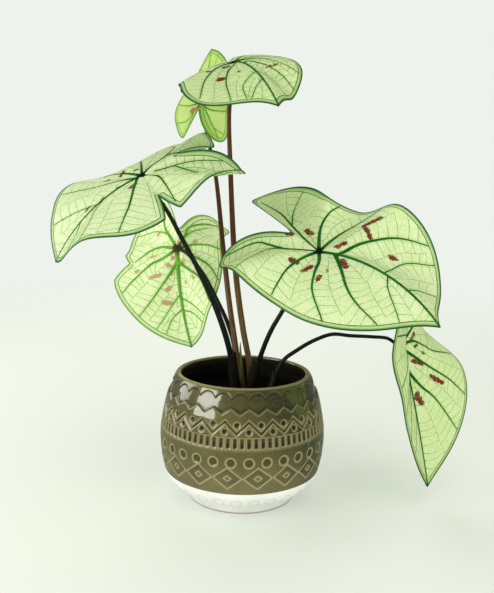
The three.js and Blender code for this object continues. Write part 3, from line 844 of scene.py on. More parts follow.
# Main veins of each blade. Each is a few points of (clock direction, share of the
# reach), from where it starts to where it meets the vein that follows the margin.
VEINS = {
    "top": [
        [(0, 0.06), (-28, 0.22), (-26, 0.40), (-23, 0.63), (-19, 0.94)],
        [(0, 0.0), (-56, 0.23), (-52, 0.38), (-45, 0.55), (-40, 0.69), (-34, 0.92)],
        [(0, 0.50), (-9, 0.65), (-13, 0.78), (-12, 0.95)], [(0, 0.64), (-6, 0.79), (-10, 0.95)],
        [(0, 0.0), (-95, 0.32), (-84, 0.65), (-70, 0.93)], [(0, 0.0), (-140, 0.3), (-138, 0.6), (-125, 0.92)],
        [(-139, 0.45), (-152, 0.7), (-156, 0.9)],
        [(0, 0.08), (62, 0.19), (54, 0.33), (50, 0.47), (43, 0.70), (36, 0.94)],
        [(0, 0.0), (100, 0.30), (86, 0.48), (70, 0.60), (63, 0.74), (55, 0.94)],
        [(0, 0.0), (120, 0.4), (106, 0.93)], [(0, 0.0), (150, 0.3), (148, 0.6), (138, 0.92)],
        [(0, 0.50), (12, 0.68), (15, 0.94)],
    ],
    "young": [
        [(0, 0.12), (34, 0.40), (31, 0.93)], [(0, 0.12), (-34, 0.40), (-31, 0.93)],
        [(0, 0.50), (14, 0.70), (15, 0.94)], [(0, 0.50), (-14, 0.70), (-15, 0.94)],
        [(0, 0.0), (92, 0.35), (80, 0.70), (74, 0.93)], [(0, 0.0), (-75, 0.35), (-66, 0.93)],
        [(0, 0.0), (150, 0.25), (140, 0.58), (116, 0.94)], [(150, 0.3), (158, 0.6), (160, 0.88)],
        [(0, 0.0), (-141, 0.20), (-149, 0.50), (-152, 0.92)], [(-150, 0.66), (-146, 0.8), (-142, 0.92)],
        [(0, 0.0), (-130, 0.35), (-121, 0.70), (-116, 0.93)],
    ],
    "left": [
        [(0, 0.36), (8, 0.52), (18, 0.68), (25, 0.95)],
        [(0, 0.04), (45, 0.22), (51, 0.55), (50, 0.73), (49, 0.94)],
        [(0, 0.0), (126, 0.13), (114, 0.31), (102, 0.54), (94, 0.86)],
        [(168, 0.2), (166, 0.30), (164, 0.58), (161, 0.75), (158, 0.90)],
        [(165, 0.45), (150, 0.65), (140, 0.9)], [(0, 0.0), (-112, 0.40), (-110, 0.93)],
        [(0, 0.0), (-139, 0.18), (-145, 0.36), (-140, 0.60), (-131, 0.88)],
        [(-145, 0.36), (-153, 0.60), (-156, 0.88)], [(0, 0.0), (-76, 0.40), (-74, 0.93)],
        [(0, 0.06), (-40, 0.32), (-43, 0.50), (-47, 0.70), (-48, 0.93)],
        [(0, 0.42), (-14, 0.62), (-22, 0.94)], [(0, 0.62), (8, 0.76), (12, 0.93)],
    ],
    "back": [
        [(0, 0.12), (16, 0.30), (21, 0.55), (23, 0.93)],
        [(0, 0.0), (57, 0.27), (58, 0.48), (47, 0.73), (40, 0.94)],
        [(0, 0.0), (107, 0.35), (95, 0.54), (84, 0.64), (70, 0.87)],
        [(0, 0.0), (144, 0.32), (146, 0.50), (152, 0.70), (154, 0.9)],
        [(144, 0.35), (137, 0.49), (129, 0.66), (114, 0.93)], [(0, 0.45), (9, 0.62), (15, 0.94)],
        [(0, 0.60), (8, 0.74), (11, 0.93)], [(0, 0.13), (-31, 0.39), (-37, 0.64), (-32, 0.93)],
        [(0, 0.0), (-57, 0.30), (-57, 0.70), (-49, 0.95)], [(0, 0.0), (-93, 0.31), (-85, 0.69), (-79, 0.95)],
        [(0, 0.0), (-163, 0.36), (-164, 0.60), (-152, 0.76), (-140, 0.94)],
        [(-161, 0.34), (-155, 0.47), (-146, 0.70)], [(0, 0.50), (-14, 0.68), (-22, 0.93)],
        [(0, 0.62), (-10, 0.73), (-18, 0.95)],
    ],
    "right": [
        [(0, 0.10), (47, 0.33), (48, 0.57), (46, 0.74), (42, 0.95)], [(0, 0.49), (31, 0.64), (36, 0.95)],
        [(0, 0.0), (92, 0.28), (86, 0.55), (77, 0.80), (73, 0.95)],
        [(0, 0.0), (122, 0.45), (115, 0.76), (107, 0.95)],
        [(0, 0.0), (152, 0.19), (149, 0.42), (148, 0.64), (151, 0.90)],
        [(148, 0.43), (141, 0.62), (134, 0.92)],
        [(0, 0.0), (-149, 0.30), (-157, 0.53), (-159, 0.73), (-152, 0.95)],
        [(-150, 0.33), (-151, 0.48), (-145, 0.58), (-131, 0.74), (-123, 0.93)],
        [(0, 0.0), (-100, 0.24), (-99, 0.49), (-97, 0.64), (-93, 0.92)],
        [(0, 0.0), (-59, 0.22), (-64, 0.44), (-62, 0.67), (-53, 0.94)],
        [(0, 0.12), (-28, 0.35), (-34, 0.57), (-32, 0.75), (-26, 0.94)], [(0, 0.52), (-9, 0.67), (-15, 0.95)],
        [(0, 0.68), (12, 0.80), (20, 0.94)],
    ],
    "drooping": [
        [(0, 0.18), (14, 0.38), (21, 0.58), (23, 0.95)],
        [(0, 0.03), (34, 0.20), (39, 0.42), (42, 0.70), (41, 0.95)],
        [(0, 0.0), (84, 0.24), (70, 0.38), (64, 0.50), (67, 0.90)],
        [(0, 0.0), (115, 0.35), (105, 0.93)], [(0, 0.0), (150, 0.35), (146, 0.65), (138, 0.92)],
        [(0, 0.18), (-14, 0.38), (-21, 0.65), (-22, 0.95)],
        [(0, 0.03), (-36, 0.28), (-40, 0.60), (-40, 0.95)],
        [(0, 0.0), (-84, 0.24), (-70, 0.50), (-66, 0.93)], [(0, 0.50), (-9, 0.68), (-14, 0.93)],
        [(0, 0.0), (-115, 0.35), (-105, 0.93)], [(0, 0.0), (-150, 0.35), (-146, 0.65), (-138, 0.92)],
    ],
}

# Crimson blotches: (clock direction, share of the reach, half length, half width, turn).
BLOTCHES = {
    "top": [(-30, 0.48, 5.2, 3.4, -7), (-42, 0.20, 5.5, 1.1, -12), (-53, 0.49, 2.6, 0.9, -22),
            (-13, 0.44, 2.6, 0.7, -6), (144, 0.15, 2.0, 0.8, 0), (48, 0.50, 3.4, 0.7, 68),
            (56, 0.59, 3.0, 1.0, 62)],
    "young": [(135, 0.29, 3.0, 2.2, 0), (172, 0.27, 2.0, 1.4, 0)],
    "left": [(-76, 0.36, 5.2, 1.9, -60), (-96, 0.20, 2.7, 1.2, -66), (-60, 0.46, 3.6, 1.2, 25),
             (-2, 0.38, 3.0, 1.3, 17), (-7, 0.53, 3.1, 1.1, 40), (39, 0.21, 4.4, 1.7, -21),
             (-7, 0.23, 1.4, 0.9, -12), (176, 0.81, 1.3, 0.7, -9), (-72, 0.60, 3.3, 0.7, 74)],
    "back": [(132, 0.54, 3.0, 1.6, 60), (-112, 0.35, 5.2, 2.0, 80), (-84, 0.30, 4.0, 1.0, 90),
             (77, 0.49, 3.6, 1.5, 0), (28, 0.13, 2.4, 1.5, 0), (25, 0.23, 4.0, 1.8, 90),
             (-26, 0.21, 3.4, 1.8, 10), (13, 0.29, 1.8, 1.1, 0), (-13, 0.41, 2.2, 1.3, 0),
             (-30, 0.50, 2.4, 1.4, 0), (57, 0.66, 2.4, 1.8, 0), (33, 0.45, 6.0, 1.9, 30),
             (13, 0.46, 3.4, 1.4, 30), (12, 0.61, 4.2, 2.0, 80), (178, 0.24, 4.0, 1.1, 0)],
    "right": [(138, 0.30, 6.2, 1.9, 15), (65, 0.68, 10.0, 1.9, -20), (57.5, 0.535, 7.2, 1.6, 84),
              (56, 0.23, 6.2, 1.3, 5), (-102, 0.41, 4.4, 2.5, -53), (-76, 0.40, 6.0, 1.8, -34),
              (-58, 0.48, 3.8, 1.4, -18), (-18, 0.29, 6.4, 2.3, -19), (35, 0.59, 4.2, 1.5, -9),
              (-46, 0.34, 3.2, 0.5, -12), (-178, 0.95, 4.0, 1.6, 24)],
    "drooping": [(98, 0.27, 5.4, 1.4, 22), (68, 0.22, 4.0, 1.1, 32), (54, 0.30, 3.1, 0.9, -5),
                 (29, 0.23, 7.4, 1.3, 26), (33, 0.51, 10.0, 1.7, 15), (7, 0.43, 7.0, 2.1, 11),
                 (5, 0.39, 4.0, 1.8, -37), (75, 0.06, 3.0, 1.4, 0), (-50, 0.3, 5.0, 1.4, 0),
                 (-30, 0.5, 6.0, 1.6, 20)],
}

BLADE_APART = 300.0  # how far apart the blades lie in the patterns of their markings
BLADE_STEPS = 320
BLADE_ROWS = 48
ROWS_TO_MARGIN = 1.15  # above 1 the rows of a blade lie closer together towards its margin
DISC = 100.0  # radius of the plain disc that a blade is shaped from
BLADE_THICKNESS = 0.55
DRIP_SPREAD = 9.0
FAR_FROM_BLOTCHES = -5.0
NUDGE = 0.4  # half the step over which slopes of a blade are measured

PUCKER = 0.6  # how far the blade swells between its veins
PUCKER_RISE = 3.5  # the distance from a main vein over which it swells
PUCKER_MARGIN = 8.0  # and from the margin
PUCKER_SIDE_RISE = 2.2  # and from a fine vein, which holds only a share of it down
PUCKER_SIDE_SHARE = 0.4

# Half widths of veins at their start and end, half heights and how finely they are cut.
MIDRIB_WIDTH = (2.4, 0.8)
VEIN_WIDTH = (1.9, 0.46)
BRANCH_WIDTH = (0.72, 0.38)
SIDE_WIDTH = (0.68, 0.46)
VEIN_TAPER = 0.55
VEIN_LIFT = 0.22
VEIN_HEIGHT = 0.5  # as a share of the half width
VEIN_LEAST_HEIGHT = 0.3
UNDER_WIDER = 1.1  # under the blade the main veins stand out further
UNDER_HEIGHT = 0.7
UNDER_DROP = 0.2
EDGE_VEIN_WIDTH = 0.6
EDGE_VEIN_DEPTH = 0.43
SIDE_DEPTH = 0.4  # the fine veins show on both sides of the blade
HUB_FLATNESS = 0.45
VEIN_STATIONS = 22
VEIN_SIDES = 6
SIDE_STATIONS = 14
SIDE_SIDES = 5
EDGE_STATIONS = 260
MAIN, UNDER, FINE = range(3)  # the order of the veins' looks

# Fine veins leave the main ones sideways. Lengths in millimetres, angles in degrees.
SIDE_FIRST = 7.0
SIDE_LAST = 3.0
SIDE_SPACING = 7.6
SIDE_SPREAD = (0.75, 1.25)
SIDE_ANGLE = 66
SIDE_LEAN = 7
SIDE_LEAST = 3  # a fine vein has more places than this
TRACE_STEP = 1.1
TRACE_TURN = 1.5  # turn at each step towards the way round the stalk
TRACE_WANDER = 3.0
TRACE_LONGEST = 55
JOIN_WITHIN = 15.0  # ends closer than this are linked into the vein between two main ones
JOIN_LEAST = 1.0
JOIN_PLACES = 8
JOIN_CALMING = 5  # how often those ends are drawn towards their neighbours


def wrapped(degrees):
    return (np.asarray(degrees, float) + 180) % 360 - 180


def towards(degrees, far):
    """Points laid flat, that far from the middle in each direction."""
    return np.stack([far * np.cos(np.radians(degrees)), far * np.sin(np.radians(degrees))], -1)


def around_clock(values, degrees):
    """Smooth value of a list of twelve clock directions at any directions."""
    table = np.asarray(values, float)
    place = (wrapped(degrees) + 180) / 30
    hour = np.floor(place).astype(int)
    before, here, after, beyond = (table[(hour + k) % 12] for k in (-1, 0, 1, 2))
    return curve(here, after, (after - before) / 2, (beyond - here) / 2, place - hour)


def reach_at(leaf, degrees):
    """Length of the rib in each direction, up to the margin."""
    depth, width, at = leaf["cleft"]
    reach = around_clock(leaf["reach"], degrees)
    reach = reach * (1 - depth * bell(wrapped(degrees - at), 0, width))
    for direction, share, half_width in leaf.get("dents", ()):
        reach = reach * (1 - share * np.maximum(0, 1 - np.abs(wrapped(degrees - direction)) / half_width))
    return reach * (1 + leaf["drip"] * np.exp(-np.abs(wrapped(degrees)) / DRIP_SPREAD))


def leaf_turn(leaf):
    """How the leaf is turned: its columns are the ways to the tip, to the side and up."""
    turns = ((leaf["yaw"], "Z"), (-leaf["pitch"], "Y"), (leaf["roll"], "X"))
    turn = Matrix.Identity(3)
    for degrees, axis in turns:
        turn = turn @ Matrix.Rotation(math.radians(degrees), 3, axis)
    return np.array(turn)


def blade_places(leaf, degrees, share):
    """Points of the blade's middle surface: a rib bends evenly from its rise to its droop."""
    side = np.abs(np.sin(np.radians(degrees)))
    start = np.radians(around_clock(leaf["rise"], degrees) + leaf["crease"] * side)
    end = around_clock(leaf["droop"], degrees)
    for direction, angle, width in leaf.get("curls", ()):
        end = end + angle * bell(wrapped(degrees - direction), 0, width)
    bend = np.radians(end) - start
    bend = np.where(np.abs(bend) < 1e-4, 1e-4, bend)
    reach = reach_at(leaf, degrees)
    out = (np.sin(start + bend * share) - np.sin(start)) / bend * reach
    up = -(np.cos(start + bend * share) - np.cos(start)) / bend * reach
    local = np.concatenate([towards(degrees, out), up[..., None]], -1)
    return np.array(leaf["centre"], float) + local @ leaf_turn(leaf).T


def laid_flat(leaf, degrees, share):
    """The same points on the blade laid flat, with the stalk at the middle and the tip along X."""
    return towards(degrees, reach_at(leaf, degrees) * share)


def off_flat(leaf, flat):
    """Blade points from points laid flat."""
    degrees = np.degrees(np.arctan2(flat[:, 1], flat[:, 0]))
    share = np.hypot(flat[:, 0], flat[:, 1]) / reach_at(leaf, degrees)
    return blade_places(leaf, degrees, np.minimum(share, 1))


def upper_side(leaf, flat):
    """Directions out of the upper side of the blade at points laid flat."""
    along, across = (off_flat(leaf, flat + step) - off_flat(leaf, flat - step)
                     for step in np.eye(2) * NUDGE)
    return unit(np.cross(along, across))


def main_veins(name):
    """Every main vein laid flat, with its half widths at start and end. The midrib is first."""
    leaf = LEAVES[name]
    tip = laid_flat(leaf, np.array([0.0]), 0.985)[0]
    veins = [(smooth_line([(0, 0), tip / 2, tip], VEIN_STATIONS), MIDRIB_WIDTH)]
    for points in VEINS[name]:
        directions, shares = (np.array(column, float) for column in zip(*points))
        line = smooth_line(laid_flat(leaf, directions, shares), VEIN_STATIONS)
        width = VEIN_WIDTH if shares[0] < 0.2 else BRANCH_WIDTH
        veins.append((line, width))
    return veins


def point_tree(lines, spacing=0.4):
    """A search tree of points along lines laid flat, and the line that each point is on."""
    points = []
    owners = []
    for owner, line in enumerate(lines):
        even = places_on(line, np.arange(0, walked_along(line)[-1], spacing))
        points.extend(even)
        owners.extend([owner] * len(even))
    tree = KDTree(len(points))
    for index, (x, y) in enumerate(points):
        tree.insert((x, y, 0), index)
    tree.balance()
    return tree, owners


def gaps_to(tree, flat):
    """Distances from points laid flat to the nearest point of the tree."""
    return np.array([tree.find((x, y, 0))[2] for x, y in flat])


def blotch_field(leaf, blotches, flat):
    """How far inside the nearest blotch each point lies, in millimetres, below 0 outside."""
    field = np.full(len(flat), FAR_FROM_BLOTCHES)
    for direction, share, long_half, short_half, turn in blotches:
        middle = laid_flat(leaf, np.array([float(direction)]), share)[0]
        along, across = (np.abs((flat - middle) @ towards(direction + turn + right, 1))
                         for right in (0, 90))
        beyond = np.maximum(along - (long_half - short_half), 0)
        field = np.maximum(field, short_half - np.hypot(beyond, across))
    return field


class Blade:
    """What the parts of one leaf share: its veins laid flat, its margin and its surface."""

    def __init__(self, name):
        self.leaf = LEAVES[name]
        clock = np.linspace(-180, 180, 1440)
        self.margin = laid_flat(self.leaf, clock, self.leaf["fit"])
        self.margin_tree, _ = point_tree([self.margin])
        self.veins = main_veins(name)
        self.vein_tree, self.owners = point_tree([line for line, _ in self.veins])
        self.side_veins = self.trace_side_veins(random.Random(SEED + len(name)))
        self.side_tree, _ = point_tree(self.side_veins)

    def places(self, flat):
        """Places and outward directions on the swollen blade, and the gaps that shape it."""
        near = gaps_to(self.vein_tree, flat)
        near_side = gaps_to(self.side_tree, flat)
        inside = gaps_to(self.margin_tree, flat)
        swell = PUCKER * (1 - np.exp(-near / PUCKER_RISE)) * soft_step(inside / PUCKER_MARGIN)
        swell = swell * (1 - PUCKER_SIDE_SHARE * np.exp(-near_side / PUCKER_SIDE_RISE))
        out = upper_side(self.leaf, flat)
        return off_flat(self.leaf, flat) + out * swell[:, None], out, near, inside

    def trace_side_veins(self, rng):
        """Every fine vein, and the ones that link their ends between two main veins."""
        traced = []
        meetings = {}
        for owner, (line, _) in enumerate(self.veins):
            last = walked_along(line)[-1] - SIDE_LAST
            for side in (-1, 1):
                place = SIDE_FIRST + rng.uniform(0, SIDE_SPACING)
                while place < last:
                    here, ahead = places_on(line, (place, place + 1))
                    lean = math.radians(SIDE_ANGLE + rng.uniform(-SIDE_LEAN, SIDE_LEAN)) * side
                    way = math.atan2(*(ahead - here)[::-1]) + lean
                    path, met = self.trace(here, way, side, owner, rng)
                    if len(path) > SIDE_LEAST:
                        path = np.array(path)
                        traced.append(path)
                        if met is not None:
                            meetings.setdefault(tuple(sorted((owner, met))), []).append(path)
                    place += SIDE_SPACING * rng.uniform(*SIDE_SPREAD)
        for paths in meetings.values():
            if len(paths) > 1:
                traced.extend(self.join_ends(paths))
        return traced

    def join_ends(self, paths):
        """Draws the ends of neighbouring fine veins onto one calm line, and returns its pieces."""
        paths.sort(key=lambda path: float(np.hypot(*path[-1])))
        ends = np.array([path[-1] for path in paths])
        for _ in range(JOIN_CALMING):
            ends[1:-1] = (ends[:-2] + 2 * ends[1:-1] + ends[2:]) / 4
        for path, end in zip(paths, ends):
            path += (end - path[-1]) * np.linspace(0, 1, len(path))[:, None] ** 2
        line = smooth_line(ends, JOIN_PLACES * (len(ends) - 1) + 1)
        gaps = np.linalg.norm(np.diff(ends, axis=0), axis=1)
        return [line[JOIN_PLACES * k:JOIN_PLACES * (k + 1) + 1]
                for k, gap in enumerate(gaps) if JOIN_LEAST < gap < JOIN_WITHIN]

    def edge_vein(self):
        """The vein that follows the margin, as a loop laid flat that ends where it starts."""
        forward = np.gradient(self.margin, axis=0)
        inward = unit(np.stack([-forward[:, 1], forward[:, 0]], 1))
        loop = self.margin + inward * EDGE_VEIN
        kept = loop[gaps_to(self.margin_tree, loop) > EDGE_VEIN * 0.97]
        return evenly(np.vstack([kept, kept[:1]]), EDGE_STATIONS)

    def trace(self, start, way, side, owner, rng):
        """One fine vein from its start to the ground of another main vein or to the margin."""
        path = [start]
        limit = math.radians(TRACE_TURN)
        while len(path) < TRACE_LONGEST / TRACE_STEP:
            round_stalk = math.atan2(path[-1][1], path[-1][0]) + side * math.pi / 2
            off = math.remainder(round_stalk - way, 2 * math.pi)
            way += max(-limit, min(limit, off)) + math.radians(rng.uniform(-TRACE_WANDER, TRACE_WANDER))
            point = path[-1] + TRACE_STEP * np.array([math.cos(way), math.sin(way)])
            if self.margin_tree.find((*point, 0))[2] < EDGE_VEIN:
                return [*path, point], None
            found = self.owners[self.vein_tree.find((*point, 0))[1]]
            path.append(point)
            if found != owner and len(path) > SIDE_LEAST:
                return path, found
        return path, None


def blade_shares():
    """Shares of the reach where the rows of a blade lie."""
    rows = np.linspace(0, 1, BLADE_ROWS + 1)[1:]
    return 1 - (1 - rows) ** ROWS_TO_MARGIN


def make_blade(name, blade, looks):
    leaf = blade.leaf
    outline = [[0, 0]] + [[share * DISC, 0] for share in blade_shares()]
    mesh = to_mesh("blade_" + name, spun(outline, BLADE_STEPS))
    disc = places_of(mesh) / DISC
    degrees = np.degrees(np.arctan2(disc[:, 1], disc[:, 0]))
    flat = laid_flat(leaf, degrees, np.hypot(disc[:, 0], disc[:, 1]) * leaf["fit"])
    places, _, near, inside = blade.places(flat)
    set_places(mesh, places)
    store(mesh, "edge", (inside, blotch_field(leaf, BLOTCHES[name], flat), near))
    apart = BLADE_APART * list(LEAVES).index(name)
    store(mesh, "flat", (flat[:, 0] + apart, flat[:, 1], np.full(len(flat), leaf["fresh"])))
    piece = finish_piece("blade_" + name, mesh, looks, "leaf_" + name)
    thicken(piece, BLADE_THICKNESS, under=1, rim=2)


def make_veins(name, blade, looks):
    """Main veins that stand out of both sides, fine ones and the one along the margin."""
    leaf = blade.leaf
    bm = bmesh.new()

    def lay(template, line, wide, high, lift, material):
        places, up, _, _ = blade.places(line)
        side = unit(np.cross(up, np.gradient(places, axis=0)))
        mesh = shape_tube(template, places + up * lift[:, None], side, up, wide, high)
        mesh.polygons.foreach_set("material_index", [material] * len(mesh.polygons))
        bm.from_mesh(mesh)

    fold = math.tan(math.radians(leaf["crease"])) / 2  # how much higher the midrib lies in a fold
    main = tube_template("main", VEIN_STATIONS, VEIN_SIDES)
    taper = np.linspace(0, 1, VEIN_STATIONS) ** VEIN_TAPER
    for line, (start, end) in blade.veins:
        half = (start + (end - start) * taper) * leaf["stout"]
        lift = VEIN_LIFT + half * (fold if line is blade.veins[0][0] else 0)
        lay(main, line, half, np.maximum(half * VEIN_HEIGHT, VEIN_LEAST_HEIGHT), lift, MAIN)
        lay(main, line, half * UNDER_WIDER, np.maximum(half * UNDER_HEIGHT, VEIN_LEAST_HEIGHT),
            -UNDER_DROP - half * VEIN_HEIGHT, UNDER)
    fine = tube_template("fine", SIDE_STATIONS, SIDE_SIDES)
    even = np.ones(SIDE_STATIONS)
    for line in blade.side_veins:
        lay(fine, evenly(line, SIDE_STATIONS), np.linspace(*SIDE_WIDTH, SIDE_STATIONS),
            even * SIDE_DEPTH, even * 0, FINE)
    loop = blade.edge_vein()
    even = np.ones(EDGE_STATIONS)
    edge = tube_template("edge", EDGE_STATIONS, SIDE_SIDES, closed=True)
    lay(edge, loop, even * EDGE_VEIN_WIDTH, even * EDGE_VEIN_DEPTH, even * 0, MAIN)
    knot = bmesh.ops.create_uvsphere(bm, u_segments=16, v_segments=8, radius=HUB_RADIUS * MM)["verts"]
    place = Matrix.Translation(Vector(leaf["centre"]) * MM)
    turn = Matrix(leaf_turn(leaf).tolist()).to_4x4()
    bmesh.ops.transform(bm, matrix=place @ turn @ Matrix.Diagonal((1, 1, HUB_FLATNESS, 1)), verts=knot)
    bmesh.ops.remove_doubles(bm, verts=bm.verts, dist=0.001 * MM)
    mesh = to_mesh("veins_" + name, bm)
    from_hub = np.linalg.norm(places_of(mesh) - np.array(leaf["centre"], float), axis=1)
    store(mesh, "hub", (from_hub, from_hub, from_hub))
    finish_piece("veins_" + name, mesh, looks, "leaf_" + name)


UPPER_TONES = {
    "blade": srgb(222, 229, 191), "blade_cool": srgb(205, 219, 157), "net": srgb(150, 190, 112),
    "band": srgb(146, 190, 94), "margin": srgb(20, 84, 42), "blotch": srgb(116, 10, 20),
    "net_share": 0.3, "halo_share": 0.4, "band_share": 0.6, "blotch_share": 0.97,
}
UNDER_TONES = {
    "blade": srgb(232, 246, 196), "blade_cool": srgb(222, 242, 176), "net": srgb(150, 196, 100),
    "band": srgb(190, 224, 130), "margin": srgb(74, 128, 58), "blotch": srgb(186, 84, 78),
    "net_share": 0.35, "halo_share": 0.4, "band_share": 0.3, "blotch_share": 0.7,
}
PALE_TONES = dict(
    UPPER_TONES, blade=srgb(200, 216, 138), blade_cool=srgb(184, 206, 114), net=srgb(140, 188, 76),
    band=srgb(160, 198, 84), margin=srgb(84, 140, 48), blotch=srgb(190, 96, 86))
# Pale underside, also lightened as painted light for the back leaf, which lies in shade.
PALE_UNDER_AND_LIT_TONES = dict(
    UNDER_TONES, blade=srgb(250, 253, 220), blade_cool=srgb(242, 250, 192), net=srgb(186, 224, 124),
    band=srgb(196, 230, 130), margin=srgb(118, 174, 80), blotch=srgb(206, 98, 88))


# Each kind of leaf: how much light goes through, the tones of its upper and under side,
# and its veins: colour, darker patches, colour close to the stalk and roughness.
LEAF_KINDS = {
    "leaf": (LEAF_THROUGH, {"upper_blade": (UPPER_TONES, 0.42), "under_blade": (UNDER_TONES, 0.5)}, {
        "leaf_margin": ((24, 82, 50), (40, 100, 52), (24, 82, 50), 0.5),
        "dark_vein": ((22, 98, 26), (16, 80, 22), (6, 18, 10), 0.6),
        "under_vein": ((104, 158, 62), (84, 140, 50), (60, 96, 40), 0.5),
        "fine_vein": ((110, 166, 76), (88, 146, 60), (40, 90, 36), 0.55),
    }),
    "leaf_pale": (PALE_THROUGH, {"pale_upper_blade": (PALE_TONES, 0.42),
                                 "pale_under_blade_painted_light": (PALE_UNDER_AND_LIT_TONES, 0.5)}, {
        "pale_leaf_margin": ((112, 166, 72), (96, 150, 60), (96, 150, 60), 0.5),
        "fresh_vein": ((92, 158, 40), (78, 142, 34), (60, 110, 30), 0.45),
        "pale_under_vein": ((110, 172, 58), (92, 152, 48), (84, 56, 38), 0.5),
        "pale_fine_vein": ((176, 220, 112), (158, 208, 94), (90, 140, 50), 0.5),
    }),
}


def leaf_looks(through_share, sides, veins):
    """The looks of a blade, ending with its margin, and those of its veins."""
    margin, *others = (vein_material(label, *tones) for label, tones in veins.items())
    blades = [blade_material(label, *tones, through_share) for label, tones in sides.items()]
    return [*blades, margin], others


def make_leaves():
    looks = {slot: leaf_looks(*kind) for slot, kind in LEAF_KINDS.items()}
    for name in LEAVES:
        slot = "leaf_pale" if name in ("young", "back") else "leaf"
        blade_looks, vein_looks = looks[slot]
        blade = Blade(name)
        make_blade(name, blade, blade_looks)
        make_veins(name, blade, vein_looks)


# ---------------------------------------------------------------- stalks

SOIL_TOP = 93.0
TUBER = {"centre": (6, 2, 52), "radius": 24, "height": 28}
SHEATH_LENGTH = 34.0  # how far above the soil a stalk is swollen
STALK_START = 1.6  # the stalk starts this far under the blade, and leaves it straight for the neck
NECK = 6.0
SLIM_SHARE = 0.7  # share of its length over which a stalk grows stouter
FOOT_HEIGHT = 57.0  # where it ends in the tuber, a little nearer the tuber's middle
FOOT_PULL = 0.1
STALK_FLATNESS = 0.94
STALK_STATIONS = 64
STALK_SIDES = 16
ROUTE_STEPS = 24

# Sheaths: height of the free tip, the direction it stands on, the least half width and
# the degrees it covers to each side at the foot.
SHEATHS = {
    "top": {"tip": 124, "side": 15, "wide": 3.8, "span": 120},
    "young": {"tip": 139, "side": 5, "wide": 3.6, "span": 75},
    "left": {"tip": 136, "side": -35, "wide": 4.0, "span": 140},
    "back": {"tip": 124, "side": 120, "wide": 3.0, "span": 140},
    "right": {"tip": 131, "side": 215, "wide": 4.6, "span": 140},
    "drooping": {"tip": 117, "side": 190, "wide": 3.4, "span": 140},
}
SHEATH_COLUMNS = 28
SHEATH_ROWS = 24
SHEATH_DEPTH = 4.0  # how deep in the soil it starts
SHEATH_GAP = 0.45  # between the stalk and the middle of the sheath
SHEATH_FLARE = 0.9  # how far the free tip stands off
SHEATH_TIP_SPAN = 5.0
SHEATH_THICKNESS = 0.5
ABOVE_SHEATH = 30.0  # how much of the stalk above the sheath it is fitted to


def stalk_line(leaf):
    """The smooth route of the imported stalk. A leaf's own neck may be shorter than there."""
    normal = leaf_turn(leaf)[:, 2]
    centre = np.array(leaf["centre"], float)
    route = [np.array(place, float) for place in leaf["route"]]
    foot = route[-1] + (np.array(TUBER["centre"], float) - route[-1]) * FOOT_PULL
    foot[2] = FOOT_HEIGHT
    neck = centre - normal * leaf.get("neck", NECK)
    points = np.array([centre - normal * STALK_START, neck, *route, foot])
    padded = with_far_ends(points)
    fine = []
    f = np.linspace(0, 1, ROUTE_STEPS, endpoint=False)[:, None]
    for a, b, c, d in zip(padded, padded[1:], padded[2:], padded[3:]):
        first, step, last = (max(np.linalg.norm(way) ** 0.5, 1e-4) for way in (b - a, c - b, d - c))
        leaving = ((b - a) / first - (c - a) / (first + step) + (c - b) / step) * step
        arriving = ((c - b) / step - (d - b) / (step + last) + (d - c) / last) * step
        fine.extend(curve(b, c, leaving, arriving, f))
    return evenly(np.array([*fine, points[-1]]), STALK_STATIONS)


def stalk_radius(leaf, share, height):
    """Radius at a share of the way down, swollen near the soil."""
    top, stem, sheath = leaf["radii"]
    slim = top + (stem - top) * soft_step(share / SLIM_SHARE)
    swell = 1 - soft_step((height - SOIL_TOP) / SHEATH_LENGTH)
    return slim + (sheath - slim) * swell


def travelling_frame(line):
    """Side and up directions along a line, turning as little as they can."""
    forward = unit(np.gradient(line, axis=0))
    side = np.array(Vector(forward[0]).orthogonal().normalized())
    sides = []
    for way in forward:
        side = side - way * side.dot(way)
        side = side / np.linalg.norm(side)
        sides.append(side)
    return np.array(sides), np.cross(forward, sides)


def make_stalk(name, looks):
    line = stalk_line(LEAVES[name])
    radii = stalk_radius(LEAVES[name], np.linspace(0, 1, STALK_STATIONS), line[:, 2])
    tube = tube_template("stalk_" + name, STALK_STATIONS, STALK_SIDES)
    mesh = shape_tube(tube, line, *travelling_frame(line), radii, radii * STALK_FLATNESS)
    finish_piece("stalk_" + name, mesh, looks, "petiole_" + name)


def make_sheath(name, looks):
    """A thin sheath round the foot of a stalk, open at one side and drawn out to a free tip."""
    sheath = SHEATHS[name]
    bm = bmesh.new()
    bmesh.ops.create_grid(bm, x_segments=SHEATH_COLUMNS, y_segments=SHEATH_ROWS, size=MM)
    mesh = to_mesh("sheath_" + name, bm)
    grid = places_of(mesh)
    across = grid[:, 0]
    upward = np.clip((grid[:, 1] + 1) / 2, 0, 1)
    foot = SOIL_TOP - SHEATH_DEPTH
    height = foot + (sheath["tip"] - foot) * upward
    line = stalk_line(LEAVES[name])
    near_foot = line[:, 2] < sheath["tip"] + ABOVE_SHEATH
    low = line[near_foot][::-1]
    shares = np.linspace(0, 1, STALK_STATIONS)[near_foot][::-1]
    centre = np.stack([np.interp(height, low[:, 2], low[:, axis]) for axis in (0, 1)], 1)
    radius = stalk_radius(LEAVES[name], np.interp(height, low[:, 2], shares), height)
    radius = np.maximum(radius, sheath["wide"]) + SHEATH_GAP + SHEATH_FLARE * upward**3
    span = sheath["span"] * np.clip(1 - upward**2.2, 0, 1) ** 0.6 + SHEATH_TIP_SPAN
    round_stalk = centre + towards(sheath["side"] + across * span, radius)
    set_places(mesh, np.column_stack([round_stalk, height]))
    piece = finish_piece("sheath_" + name, mesh, looks, "petiole_" + name)
    thicken(piece, SHEATH_THICKNESS)


